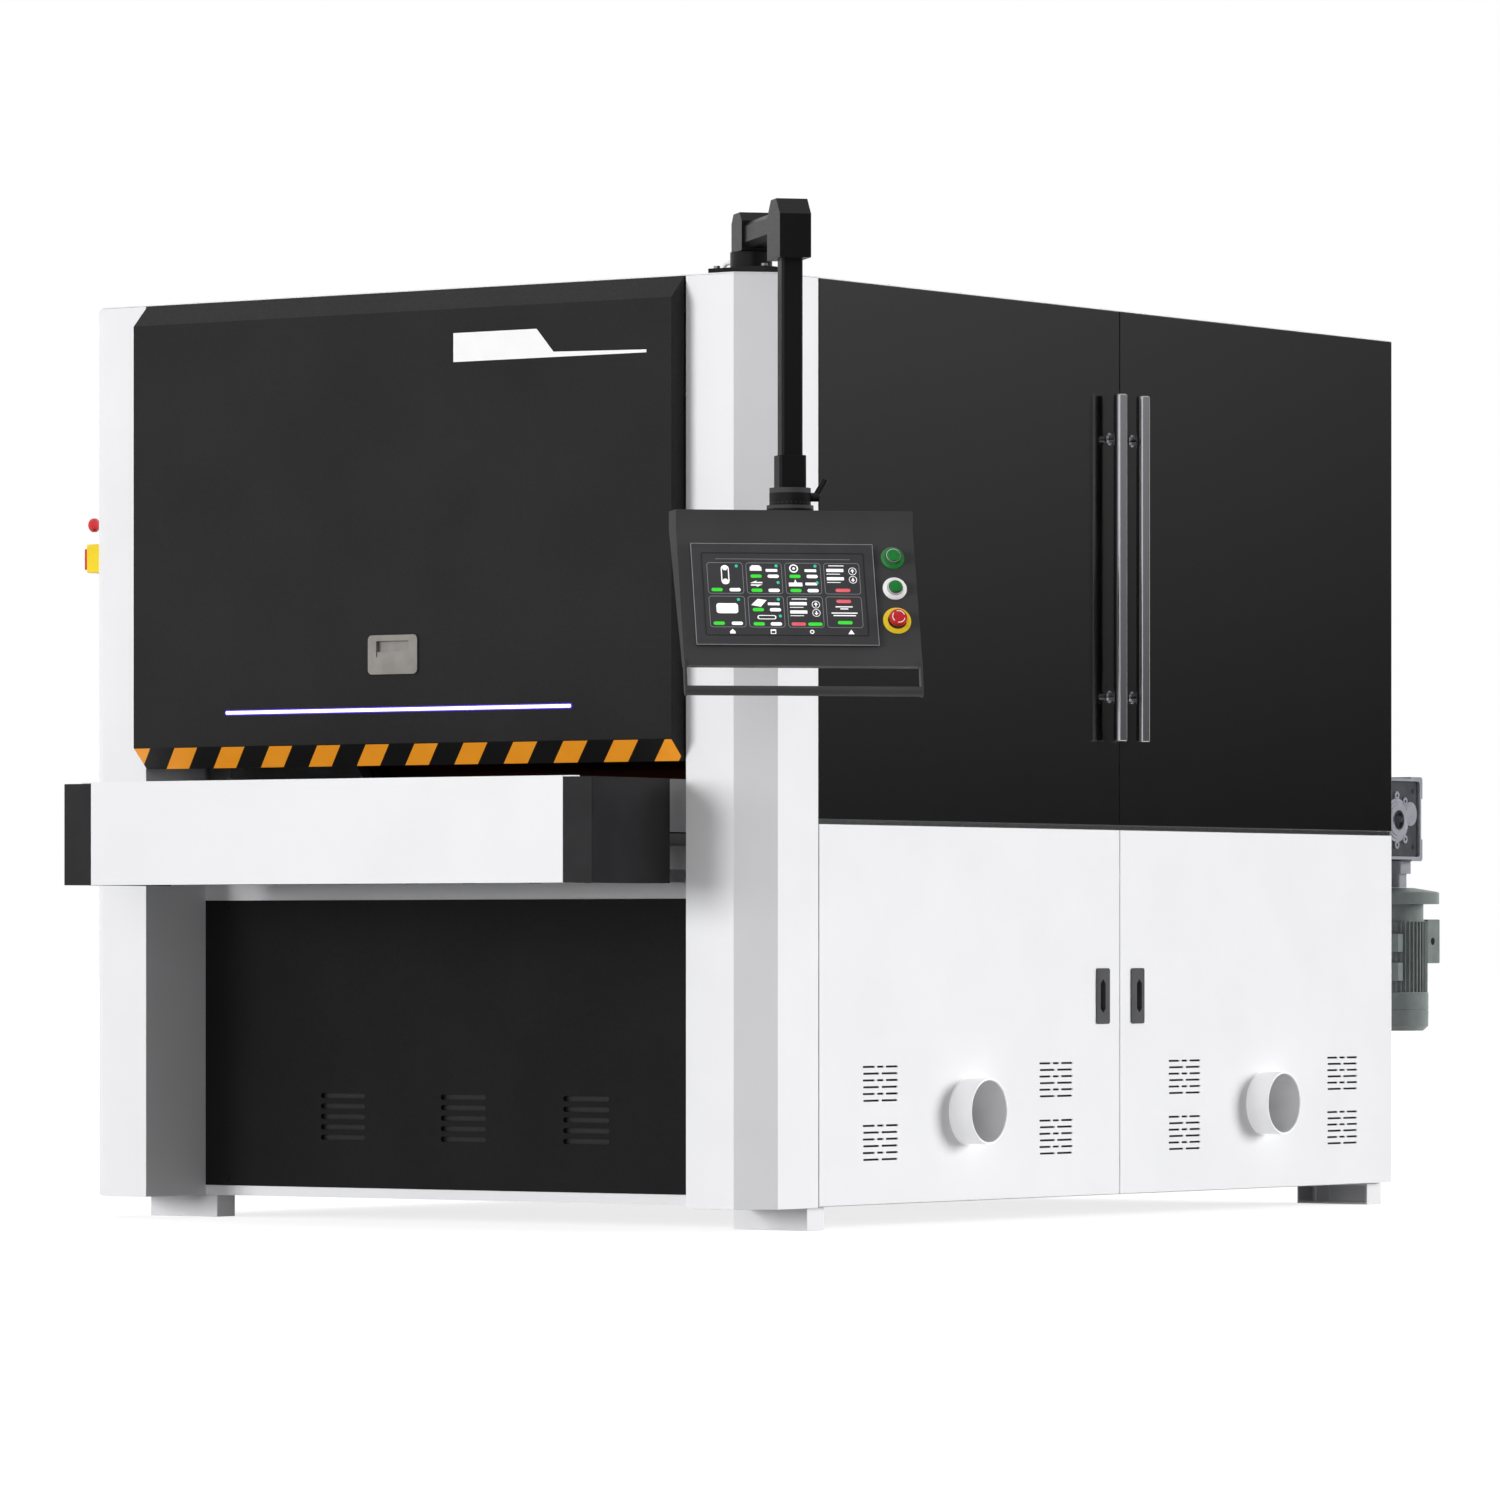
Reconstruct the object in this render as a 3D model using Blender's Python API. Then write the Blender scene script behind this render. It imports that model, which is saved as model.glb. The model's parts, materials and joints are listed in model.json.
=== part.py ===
"""Wide-belt drum sander, 1300 mm working width, as an assembly of separate pieces.

Machine axes before the last move to the origin: X = 0 is the centre of the machine, seen from the
infeed; Y = 0 is the front face of the two columns and +Y runs with the work; Z = 0 is the floor.
Lengths are in metres.
"""
import math

import bmesh
import bpy
from mathutils import Matrix, Vector

# Clearances and sheet metal
GAP = 0.0003                     # between two pieces that touch
SHEET = 0.003                    # folded sheet
RUNNING = 0.0005                 # between a shaft and its bore

# Body
BODY_WIDTH = 1.978
BODY_DEPTH = 2.707
BODY_TOP = 2.150
FLOOR_CLEARANCE = 0.052          # height of the feet
OPENING_WIDTH = 1.572            # between the columns
CORNER_CHAMFER = 0.071
COLUMN_DEPTH = 0.228
COLUMN_RETURN = 0.222            # depth of the return beside the opening
PANEL_DEPTH = 0.0337             # folded depth of the doors and of the left panel
RAIL_HEIGHT = 0.080              # base, middle and top rails
POST = 0.080
RAIL_FROM_OPENING = 0.054        # inner edge of the side rails, from the edge of the opening
FRONT_RAIL_BOTTOM = 0.735
FRONT_RAIL_TOP = 0.787
UPRIGHT_INSET = (0.420, 0.427)   # lift screw uprights, from the front and from the back
UPRIGHT_WIDTH = 0.060

# Feet
FOOT_SIZE = (0.204, 0.067)
FOOT_INSET = 0.030               # from the side of the body
FOOT_WALL = 0.006

# Front lower panel
LOWER_PANEL_Z = (0.0755, 0.750)
LOUVRE_SIZE = (0.131, 0.012)
LOUVRE_PITCH = 0.0245
LOUVRE_ROWS = 5
LOUVRE_CENTRES = (-0.370, -0.014, 0.342)
LOUVRE_Z = 0.242

# Front hood and its latch
HOOD_WIDTH = 1.566
HOOD_BOTTOM = 1.057
HOOD_STAND_OUT = 0.050
LATCH_SIZE = (0.143, 0.090)
LATCH_PLATE = 0.004
LATCH_DEPTH = 0.012
LATCH_CENTRE = (-0.008, 1.311)
LATCH_SLOT = (0.094, 0.025)
LATCH_SLOT_RISE = 0.019          # slot centre above the latch centre

# Doors
DOOR_SIDE_GAP = 0.004
DOOR_REAR_MARGIN = 0.002
LOWER_DOOR_Z = (0.055, 0.917)
UPPER_DOOR_BOTTOM = 0.928
HANDLE_RADIUS = 0.016
HANDLE_STAND_OFF = 0.034         # door face to tube axis
HANDLE_FROM_MIDDLE = 0.049
HANDLE_Z = (1.127, 1.947)
STAND_OFF_RADIUS = 0.011
STAND_OFF_INSET = 0.105
PORT_RADIUS = 0.076
PORT_LENGTH = 0.060
PORT_FROM_HINGE = 0.597
PORT_Z = 0.261
PULL_SIZE = (0.056, 0.132)
PULL_FROM_MIDDLE = 0.075
PULL_Z = 0.524
PULL_FLANGE = 0.0015
PULL_RIM = 0.005
PULL_DEPTH = 0.018

# Table: bed, conveyor belt and lift
TABLE_TOP = 1.022                # upper face of the belt
TABLE_FRONT = -0.323
TABLE_HALF_WIDTH = 0.764
CAP_WIDTH = 0.081
CAP_BACK = -0.030
SKIRT_BOTTOM = 0.783
SKIRT_DEPTH = 0.020
BELT_THICKNESS = 0.003
BELT_WIDTH = 1.350
ROLLER_RADIUS = 0.0592
IDLER_Y = -0.235
DRIVE_BEHIND = 0.189             # drive roller axis behind the body
BED_SIDE = 0.015                 # thickness of the side plates
BED_HALF_WIDTH = 0.715
BED_SIDE_HEIGHT = 0.112
BED_SIDE_DROP = 0.010            # top of the bed sides below the work surface
BED_BEHIND = 0.079               # bed sides behind the drive roller axis
BED_PLATE = 0.010
SHAFT_RADIUS = 0.020
TIE_INSET = (0.300, 1.300, 0.507)   # two ties from the front and one from the back
TIE_SIZE = (0.060, 0.060)
TIE_CLEARANCE = 0.0147           # above the belt's lower run
LUG_THICKNESS = 0.025
SCREW_X = 0.750
SCREW_RADIUS = 0.018
SCREW_BOTTOM = 0.250
BOSS_Z = (0.400, 0.480)

# Conveyor gear motor
GEARBOX_X = (0.772, 0.892)
GEARBOX_FRONT_REACH = 0.118      # both ways along Y from the output shaft
GEARBOX_Z = (0.857, 1.069)
MOTOR_X = 0.835
MOTOR_OFFSET = 0.082             # worm axis behind the output shaft
MOTOR_FLANGE_RADIUS = 0.110
MOTOR_BODY_RADIUS = 0.081
FAN_COVER_RADIUS = 0.083
NECK_RADIUS = 0.042
MOTOR_Z = (0.429, 0.524, 0.748, 0.790)
TERMINAL_BOX = (0.110, 0.126, 0.111)
TERMINAL_BOX_Z = 0.6545

# Sanding heads
HEAD_PITCH = 1.000               # between the two sanding heads
HEAD_MIDDLE = 0.0035             # middle of the heads, in front of the middle of the body
WORK_CLEARANCE = 0.003           # thinnest work, with the table at its top
DRUM_RADIUS = 0.120
DRUM_HALF_WIDTH = 0.660
DRUM_SHAFT = 0.030
ABRASIVE_THICKNESS = 0.0015
ABRASIVE_HALF_WIDTH = 0.655
TENSION_RADIUS = 0.060
TENSION_Z = 1.880
BEAM_HALF_DEPTH = 0.050
BEAM_Z = (1.500, 1.620)
BRACKET_X = (0.6825, 0.6975)
BRACKET_HALF_DEPTH = 0.050
WALL_THICKNESS = 0.025
WALL_LAP = 0.005                 # of the wall into the side frame's rails
WALL_Z = (1.120, 2.000)

# Main drive
PULLEY_RADIUS = 0.100
MOTOR_PULLEY_RADIUS = 0.080
DRIVE_BELT_THICKNESS = 0.010
DRIVE_BELT_WIDTH = 0.030
DRIVE_BELT_X = (-0.740, -0.785)  # middles of the two drive belts
MAIN_MOTOR_RADIUS = 0.140
MAIN_MOTOR_Z = 0.360
MAIN_MOTOR_X = (-0.700, -0.200)
MAIN_MOTOR_FEET = (0.300, 0.340)

# Left side: isolator switch and emergency stop
SWITCH_Y = 0.110
ISOLATOR_Z = 1.563
ISOLATOR_SIZE = 0.068
ISOLATOR_DEPTH = 0.044
KNOB_RADIUS = 0.022
KNOB_DEPTH = 0.028
SIDE_STOP_Z = 1.644
SIDE_STOP_RADIUS = 0.0155
SIDE_STOP_LENGTH = 0.058
SIDE_STOP_CAP = 0.020
SIDE_STOP_NECK = 0.0115

# Swing arm
ARM_AXIS = (0.884, 0.115)
ARM_TURN = math.radians(48.7)
ARM_REACH = 0.380
ARM_PLATE = (0.160, 0.110, 0.0155)
ARM_BASE_RADIUS = 0.0475
ARM_BASE_TOP = 2.2020
ARM_PIVOT = (0.020, 0.035)       # radius and length of the stud in the base
ELBOW = (0.068, 0.104, 0.087)
ARM_TUBE = (0.055, 0.059)
ARM_TUBE_Z = 2.2375
HEAD_BOX = (0.071, 0.124, 0.1324)
HEAD_CHAMFER = 0.036
POLE_SIZE = 0.048
POLE_CHAMFER = 0.005
SLEEVE_SIZE = 0.061
SLEEVE_Z = (1.652, 1.7235)
SWIVEL_RADIUS = 0.0458
PIVOT_RADIUS = 0.020

# Control panel
PANEL_TURN = math.radians(45.0)
PANEL_WIDTH = 0.528
PANEL_TOP = 1.600
FASCIA_HEIGHT = 0.041
FASCIA_FORWARD = 0.058           # pole axis to the upright fascia
PANEL_BACK = 0.042
FACE_TILT = math.radians(22.0)
FACE_LENGTH = 0.329
FOOT_THICKNESS = 0.030           # housing at the bottom of the face
BAR_RADIUS = 0.011
BAR_DROP = 0.055
CHEEK = 0.005
SCREEN_SIZE = (0.405, 0.243)
SCREEN_OFFSET = -0.0326
SCREEN_FROM_TOP = 0.039
SCREEN_PROUD = 0.006
SCREEN_BODY = 0.030
SCREEN_LIP = 0.010
BUTTON_INSET = 0.050             # button axis from the panel's right edge
BUTTON_FROM_TOP = (0.069, 0.143, 0.220)
BUTTON_RADIUS = 0.0138
BUTTON_HEIGHT = 0.018
STOP_RADIUS = 0.0198
STOP_HEIGHT = 0.024
BUTTON_SHANK = 0.0105
BUTTON_SHANK_LENGTH = 0.026
LEVER_Z = 1.632
LEVER_LENGTH = 0.045
LEVER_RADIUS = 0.007

ROUND = 28                       # sides of a large round
SMALL_ROUND = 16                 # sides of a shaft or a button
BAND_STEP = math.radians(10)     # facet of a belt where it bends round a wheel

HALF_WIDTH = BODY_WIDTH / 2
OPENING_HALF = OPENING_WIDTH / 2
FRAME_OUTER = HALF_WIDTH - PANEL_DEPTH - GAP
FRAME_INNER = OPENING_HALF + RAIL_FROM_OPENING
FRAME_BACK = BODY_DEPTH - SHEET - GAP
ROOF_UNDER = BODY_TOP - SHEET
BASE_TOP = FLOOR_CLEARANCE + RAIL_HEIGHT
DRUM_Z = TABLE_TOP + WORK_CLEARANCE + ABRASIVE_THICKNESS + GAP + DRUM_RADIUS
ROLLER_Z = TABLE_TOP - BELT_THICKNESS - GAP - ROLLER_RADIUS
UPRIGHT_Y = (UPRIGHT_INSET[0], BODY_DEPTH - UPRIGHT_INSET[1])
TIE_Y = (TIE_INSET[0], TIE_INSET[1], BODY_DEPTH - TIE_INSET[2])
DRIVE_Y = BODY_DEPTH + DRIVE_BEHIND
BED_BACK = DRIVE_Y + BED_BEHIND
WALL_X = (FRAME_INNER + WALL_LAP - WALL_THICKNESS, FRAME_INNER + WALL_LAP)
HEAD_CENTRE = BODY_DEPTH / 2 - HEAD_MIDDLE
HEAD_Y = (HEAD_CENTRE - HEAD_PITCH / 2, HEAD_CENTRE + HEAD_PITCH / 2)
BED_SIDE_Z = (TABLE_TOP - BED_SIDE_DROP - BED_SIDE_HEIGHT, TABLE_TOP - BED_SIDE_DROP)
TIE_BOTTOM = ROLLER_Z - ROLLER_RADIUS + TIE_CLEARANCE
LUG_Z = (BED_SIDE_Z[0], BED_SIDE_Z[0] + LUG_THICKNESS)
BUTTON_X = PANEL_WIDTH / 2 - BUTTON_INSET
DOOR_START = COLUMN_DEPTH + DOOR_SIDE_GAP
DOOR_END = BODY_DEPTH - DOOR_REAR_MARGIN
DOOR_MIDDLE = (DOOR_START + DOOR_END) / 2
MAIN_MOTOR_Y = sum(HEAD_Y) / 2


# ---------------------------------------------------------------- scene and materials

def clear_scene():
    for item in list(bpy.data.objects):
        bpy.data.objects.remove(item)


def paint(name, colour, roughness, metallic=0.0):
    material = bpy.data.materials.new(name)
    material.use_nodes = True
    shader = material.node_tree.nodes["Principled BSDF"]
    shader.inputs["Base Color"].default_value = (*colour, 1.0)
    shader.inputs["Roughness"].default_value = roughness
    shader.inputs["Metallic"].default_value = metallic
    return material


def holder(name, location, parent=None, turn=0.0):
    """An empty on a joint's axis, or a place that several pieces share."""
    empty = bpy.data.objects.new(name, None)
    bpy.context.collection.objects.link(empty)
    empty.location = location
    empty.rotation_euler = (0.0, 0.0, turn)
    empty.parent = parent
    return empty


# ---------------------------------------------------------------- shapes

def box(low, high):
    """A box between two corners."""
    shape = bmesh.new()
    bmesh.ops.create_cube(shape, size=1.0)
    size = [h - l for l, h in zip(low, high)]
    middle = [(h + l) / 2 for l, h in zip(low, high)]
    bmesh.ops.scale(shape, vec=size, verts=shape.verts)
    bmesh.ops.translate(shape, vec=middle, verts=shape.verts)
    return shape


def side_box(side, x, y, z):
    """A box on the left (side -1) or on the right (side 1), with x given from the centre."""
    across = sorted(side * value for value in x)
    return box((across[0], y[0], z[0]), (across[1], y[1], z[1]))


def place(axis, along, a, b):
    """A point from its place along an axis and its two other coordinates."""
    return {"X": (along, a, b), "Y": (a, along, b), "Z": (a, b, along)}[axis]


def prism(outline, axis, start, end):
    """A flat outline pulled along an axis; its points are the two other coordinates."""
    shape = bmesh.new()
    near = [shape.verts.new(place(axis, start, a, b)) for a, b in outline]
    far = [shape.verts.new(place(axis, end, a, b)) for a, b in outline]
    shape.faces.new(near)
    shape.faces.new(list(reversed(far)))
    for i in range(len(outline)):
        j = (i + 1) % len(outline)
        shape.faces.new((near[j], near[i], far[i], far[j]))
    bmesh.ops.recalc_face_normals(shape, faces=shape.faces)
    return shape


def turned(steps, axis, centre, sides):
    """A round solid from its steps: (start, end, radius) one after the other along an axis."""
    shape = bmesh.new()
    rings = []
    for start, end, radius in steps:
        for along in (start, end):
            ring = []
            for i in range(sides):
                angle = 2 * math.pi * (i + 0.5) / sides
                point = place(axis, along, centre[0] + radius * math.cos(angle),
                              centre[1] + radius * math.sin(angle))
                ring.append(shape.verts.new(point))
            rings.append(ring)
    shape.faces.new(rings[0])
    shape.faces.new(list(reversed(rings[-1])))
    for ring, following in zip(rings, rings[1:]):
        for i in range(sides):
            j = (i + 1) % sides
            shape.faces.new((ring[j], ring[i], following[i], following[j]))
    bmesh.ops.remove_doubles(shape, verts=shape.verts, dist=1e-7)
    bmesh.ops.recalc_face_normals(shape, faces=shape.faces)
    return shape


def bored(start, end, radius, axis, centre):
    """What a bore takes out: a shaft of that radius still turns inside its flats."""
    clear = (radius + RUNNING) / math.cos(math.pi / SMALL_ROUND)
    return turned([(start, end, clear)], axis, centre, SMALL_ROUND)


def loop_outline(first, first_radius, second, second_radius):
    """The outline of a tight band round two wheels that lie in one plane."""
    away = Vector(second) - Vector(first)
    heading = math.atan2(away.y, away.x)
    lean = math.acos((first_radius - second_radius) / away.length)
    outline = []
    for centre, radius, begin, finish in ((second, second_radius, heading - lean, heading + lean),
                                          (first, first_radius, heading + lean,
                                           heading - lean + 2 * math.pi)):
        count = math.ceil((finish - begin) / BAND_STEP)
        for i in range(count + 1):
            angle = begin + (finish - begin) * i / count
            outline.append((centre[0] + radius * math.cos(angle), centre[1] + radius * math.sin(angle)))
    return outline


def band(first, first_radius, second, second_radius, thickness, start, end):
    """A flat band round two wheels, as wide along X as start to end."""
    clear = 1 / math.cos(BAND_STEP / 2)
    inner = loop_outline(first, first_radius * clear, second, second_radius * clear)
    outer = loop_outline(first, first_radius * clear + thickness,
                         second, second_radius * clear + thickness)
    shape = bmesh.new()
    rows = []
    for line, along in ((outer, start), (outer, end), (inner, end), (inner, start)):
        rows.append([shape.verts.new(place("X", along, a, b)) for a, b in line])
    for row, following in zip(rows, rows[1:] + rows[:1]):
        for i in range(len(row)):
            j = (i + 1) % len(row)
            shape.faces.new((row[i], row[j], following[j], following[i]))
    bmesh.ops.recalc_face_normals(shape, faces=shape.faces)
    return shape


def moved(shape, matrix):
    bmesh.ops.transform(shape, matrix=matrix, verts=shape.verts)
    return shape


# ---------------------------------------------------------------- objects

def link(name, shape, parent, local):
    """A mesh object under its holder; its shape is in machine axes unless local."""
    if not local and parent is not None:
        bmesh.ops.translate(shape, vec=-Vector(parent.location), verts=shape.verts)
    mesh = bpy.data.meshes.new(name)
    shape.to_mesh(mesh)
    shape.free()
    item = bpy.data.objects.new(name, mesh)
    bpy.context.collection.objects.link(item)
    item.parent = parent
    return item


def piece(name, shape, material, parent, add=(), cut=(), local=False, smooth=False):
    """One named piece: its first shape, what is welded to it, and what is cut from it."""
    item = link(name, shape, parent, local)
    item.data.materials.append(material)
    if smooth:
        item.data.shade_smooth()
        item.data.set_sharp_from_angle(angle=math.radians(35))
    tools = [("UNION", extra) for extra in add] + [("DIFFERENCE", hole) for hole in cut]
    for number, (operation, tool_shape) in enumerate(tools):
        tool = link(f"{name}_tool_{number}", tool_shape, parent, local)
        tool.hide_render = True
        tool.display_type = "WIRE"
        change = item.modifiers.new(operation.title(), "BOOLEAN")
        change.operation = operation
        change.object = tool
    return item


# ---------------------------------------------------------------- frame

def base_frame(root, coat):
    z = (FLOOR_CLEARANCE, BASE_TOP)
    first = box((-FRAME_OUTER, COLUMN_RETURN + GAP, z[0]),
                (FRAME_OUTER, COLUMN_RETURN + GAP + POST, z[1]))
    rails = [box((-FRAME_OUTER, FRAME_BACK - POST, z[0]), (FRAME_OUTER, FRAME_BACK, z[1]))]
    for side in (-1, 1):
        rails.append(side_box(side, (FRAME_INNER, FRAME_OUTER), (0.060, FRAME_BACK), z))
        rails.append(side_box(side, (OPENING_HALF + SHEET + GAP, FRAME_INNER + 0.060),
                              (SHEET + GAP, 0.100), z))
    for offset in (-0.150, 0.150):
        middle = MAIN_MOTOR_Y + offset
        rails.append(box((-FRAME_INNER - 0.010, middle - 0.030, z[0]),
                         (FRAME_INNER + 0.010, middle + 0.030, z[1])))
    piece("base_frame", first, coat, root, add=rails)


def side_frame(name, side, root, coat):
    """Welded ladder of one side: posts, rails, uprights and the bosses of the lift screws."""
    bottom = BASE_TOP + GAP
    top = ROOF_UNDER - GAP
    rail_x = (FRAME_INNER, FRAME_OUTER)
    upright_x = (FRAME_INNER, FRAME_INNER + UPRIGHT_WIDTH)
    first = side_box(side, rail_x, (0.060, FRAME_BACK), (top - RAIL_HEIGHT, top))
    members = [
        side_box(side, rail_x, (0.150, FRAME_BACK), (0.840, 0.920)),
        side_box(side, (OPENING_HALF + SHEET + GAP, OPENING_HALF + SHEET + GAP + POST),
                 (SHEET + GAP, SHEET + GAP + POST), (bottom, top)),
        side_box(side, (FRAME_OUTER - 0.060, FRAME_OUTER), (0.140, 0.262), (bottom, top)),
        side_box(side, (FRAME_OUTER - POST, FRAME_OUTER), (FRAME_BACK - POST, FRAME_BACK), (bottom, top)),
    ]
    bores = []
    for y in UPRIGHT_Y:
        members.append(side_box(side, upright_x, (y - POST / 2, y + POST / 2), (bottom, top)))
        members.append(side_box(side, (SCREW_X - 0.030, FRAME_INNER + 0.010),
                                (y - POST / 2, y + POST / 2), BOSS_Z))
        bores.append(bored(BOSS_Z[0] - 0.01, BOSS_Z[1] + 0.01, SCREW_RADIUS, "Z", (side * SCREW_X, y)))
    if side < 0:
        members.append(side_box(side, WALL_X, (UPRIGHT_Y[0] - 0.02, UPRIGHT_Y[1] + 0.02), WALL_Z))
    piece(name, first, coat, root, add=members, cut=bores)


def front_rail(root, coat):
    half = FRAME_OUTER - 0.060 - GAP
    y = (COLUMN_RETURN + GAP, COLUMN_RETURN + GAP + 0.040)
    piece("front_rail", box((-half, y[0], FRONT_RAIL_BOTTOM), (half, y[1], FRONT_RAIL_TOP)), coat, root)


def sanding_beam(name, y, root, coat):
    """Cantilever beam inside an abrasive belt, with the brackets that hold drum and roller."""
    beam = box((-WALL_X[0] + GAP, y - BEAM_HALF_DEPTH, BEAM_Z[0]),
               (BRACKET_X[1], y + BEAM_HALF_DEPTH, BEAM_Z[1]))
    outline = [(y - BRACKET_HALF_DEPTH, DRUM_Z - 0.055), (y + BRACKET_HALF_DEPTH, DRUM_Z - 0.055),
               (y + BRACKET_HALF_DEPTH, TENSION_Z - 0.020), (y + 0.035, TENSION_Z + 0.035),
               (y - 0.035, TENSION_Z + 0.035), (y - BRACKET_HALF_DEPTH, TENSION_Z - 0.020)]
    brackets = []
    bores = []
    for side in (-1, 1):
        ends = sorted(side * x for x in BRACKET_X)
        brackets.append(prism(outline, "X", ends[0], ends[1]))
        for z, radius in ((DRUM_Z, DRUM_SHAFT), (TENSION_Z, SHAFT_RADIUS)):
            bores.append(bored(ends[0] - 0.01, ends[1] + 0.01, radius, "X", (y, z)))
    piece(name, beam, coat, root, add=brackets, cut=bores)


# ---------------------------------------------------------------- body panels

def column(name, side, root, coat, cut=()):
    """Folded sheet column with a 45 degree corner, open to the back."""
    lip = SHEET * math.tan(math.radians(22.5))
    outline = [(OPENING_HALF, COLUMN_RETURN), (OPENING_HALF, 0.0), (HALF_WIDTH - CORNER_CHAMFER, 0.0),
               (HALF_WIDTH, CORNER_CHAMFER), (HALF_WIDTH, COLUMN_DEPTH),
               (HALF_WIDTH - SHEET, COLUMN_DEPTH), (HALF_WIDTH - SHEET, CORNER_CHAMFER + lip),
               (HALF_WIDTH - CORNER_CHAMFER - lip, SHEET), (OPENING_HALF + SHEET, SHEET),
               (OPENING_HALF + SHEET, COLUMN_RETURN)]
    outline = [(side * x, y) for x, y in outline]
    piece(name, prism(outline, "Z", FLOOR_CLEARANCE, ROOF_UNDER - GAP), coat, root, cut=cut)


def roof_panel(root, coat):
    corner = HALF_WIDTH - CORNER_CHAMFER
    outline = [(-corner, 0.0), (corner, 0.0), (HALF_WIDTH, CORNER_CHAMFER), (HALF_WIDTH, BODY_DEPTH),
               (-HALF_WIDTH, BODY_DEPTH), (-HALF_WIDTH, CORNER_CHAMFER)]
    piece("roof_panel", prism(outline, "Z", ROOF_UNDER, BODY_TOP), coat, root)


def pan(side, y, z):
    """A folded door or panel on one side: the outer box and the box that hollows it."""
    outer = side_box(side, (FRAME_OUTER + GAP, HALF_WIDTH), y, z)
    inside = side_box(side, (FRAME_OUTER - 0.010, HALF_WIDTH - SHEET), (y[0] + SHEET, y[1] - SHEET),
                      (z[0] + SHEET, z[1] - SHEET))
    return outer, inside


def left_side_panel(root, coat):
    outer, inside = pan(-1, (DOOR_START, BODY_DEPTH), (LOWER_DOOR_Z[0], ROOF_UNDER - 2 * GAP))
    piece("left_side_panel", outer, coat, root, cut=[inside])


def rear_panel(root, coat):
    half = FRAME_OUTER - GAP
    sheet = box((-half, BODY_DEPTH - SHEET, LOWER_DOOR_Z[0]), (half, BODY_DEPTH, ROOF_UNDER - 2 * GAP))
    opening = box((-0.800, BODY_DEPTH - 0.05, 0.780), (0.800, BODY_DEPTH + 0.05, 1.100))
    piece("rear_panel", sheet, coat, root, cut=[opening])


def front_lower_panel(root, coat):
    half = OPENING_HALF - RUNNING
    back = COLUMN_RETURN
    sheet = box((-half, back - 0.002, LOWER_PANEL_Z[0]), (half, back, LOWER_PANEL_Z[1]))
    slots = []
    for centre in LOUVRE_CENTRES:
        for row in range(LOUVRE_ROWS):
            z = LOUVRE_Z + (row - (LOUVRE_ROWS - 1) / 2) * LOUVRE_PITCH
            slots.append(box((centre - LOUVRE_SIZE[0] / 2, back - 0.01, z - LOUVRE_SIZE[1] / 2),
                             (centre + LOUVRE_SIZE[0] / 2, back + 0.01, z + LOUVRE_SIZE[1] / 2)))
    piece("front_lower_panel", sheet, coat, root, cut=slots)


def foot(name, side, y, facing, root, coat):
    """Sheet foot, open on the side that faces the middle of the machine."""
    x = (HALF_WIDTH - FOOT_INSET - FOOT_SIZE[0], HALF_WIDTH - FOOT_INSET)
    top = FLOOR_CLEARANCE - GAP
    outer = side_box(side, x, (y, y + FOOT_SIZE[1]), (0.0, top))
    wall = FOOT_WALL
    depth = (y + wall, y + FOOT_SIZE[1] + 0.01) if facing > 0 else (y - 0.01, y + FOOT_SIZE[1] - wall)
    rib = x[0] + 0.26 * FOOT_SIZE[0]
    hollows = [side_box(side, (x[0] + wall, rib - wall / 2), depth, (wall, top - wall)),
               side_box(side, (rib + wall / 2, x[1] - wall), depth, (wall, top - wall))]
    piece(name, outer, coat, root, cut=hollows)


# ---------------------------------------------------------------- hood

def front_hood(hinge, coat):
    half = HOOD_WIDTH / 2
    top = ROOF_UNDER - RUNNING
    out = -HOOD_STAND_OUT
    bevel = HOOD_STAND_OUT
    outline = [(0.0, HOOD_BOTTOM), (0.0, top), (out, top - bevel), (out, HOOD_BOTTOM + bevel)]
    shift = SHEET * math.sqrt(2)
    lean = SHEET * (math.sqrt(2) - 1)
    inner = [(0.010, HOOD_BOTTOM + shift - 0.010), (0.010, top - shift + 0.010),
             (out + SHEET, top - bevel - lean), (out + SHEET, HOOD_BOTTOM + bevel + lean)]
    x, z = LATCH_CENTRE
    window = box((x - LATCH_SIZE[0] / 2 + 0.005, out - 0.01, z - LATCH_SIZE[1] / 2 + 0.005),
                 (x + LATCH_SIZE[0] / 2 - 0.005, out + 0.02, z + LATCH_SIZE[1] / 2 - 0.005))
    piece("front_hood", prism(outline, "X", -half, half), coat, hinge,
          cut=[prism(inner, "X", -half + SHEET, half - SHEET), window])


def hood_latch(pivot, metal):
    x, z = LATCH_CENTRE
    front = -HOOD_STAND_OUT - GAP
    plate = box((x - LATCH_SIZE[0] / 2, front - LATCH_PLATE, z - LATCH_SIZE[1] / 2),
                (x + LATCH_SIZE[0] / 2, front, z + LATCH_SIZE[1] / 2))
    inset = 0.006
    body = box((x - LATCH_SIZE[0] / 2 + inset, front - 0.001, z - LATCH_SIZE[1] / 2 + inset),
               (x + LATCH_SIZE[0] / 2 - inset, front - LATCH_PLATE + LATCH_DEPTH,
                z + LATCH_SIZE[1] / 2 - inset))
    slot_z = z + LATCH_SLOT_RISE
    slot = box((x - LATCH_SLOT[0] / 2, front - LATCH_PLATE - 0.01, slot_z - LATCH_SLOT[1] / 2),
               (x + LATCH_SLOT[0] / 2, front - LATCH_PLATE + LATCH_DEPTH - 0.003,
                slot_z + LATCH_SLOT[1] / 2))
    piece("hood_latch", plate, metal, pivot, add=[body], cut=[slot])


# ---------------------------------------------------------------- doors

def upper_door(name, y, hinge, gloss):
    outer, inside = pan(1, y, (UPPER_DOOR_BOTTOM, ROOF_UNDER - 2 * GAP))
    piece(name, outer, gloss, hinge, cut=[inside])


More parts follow.
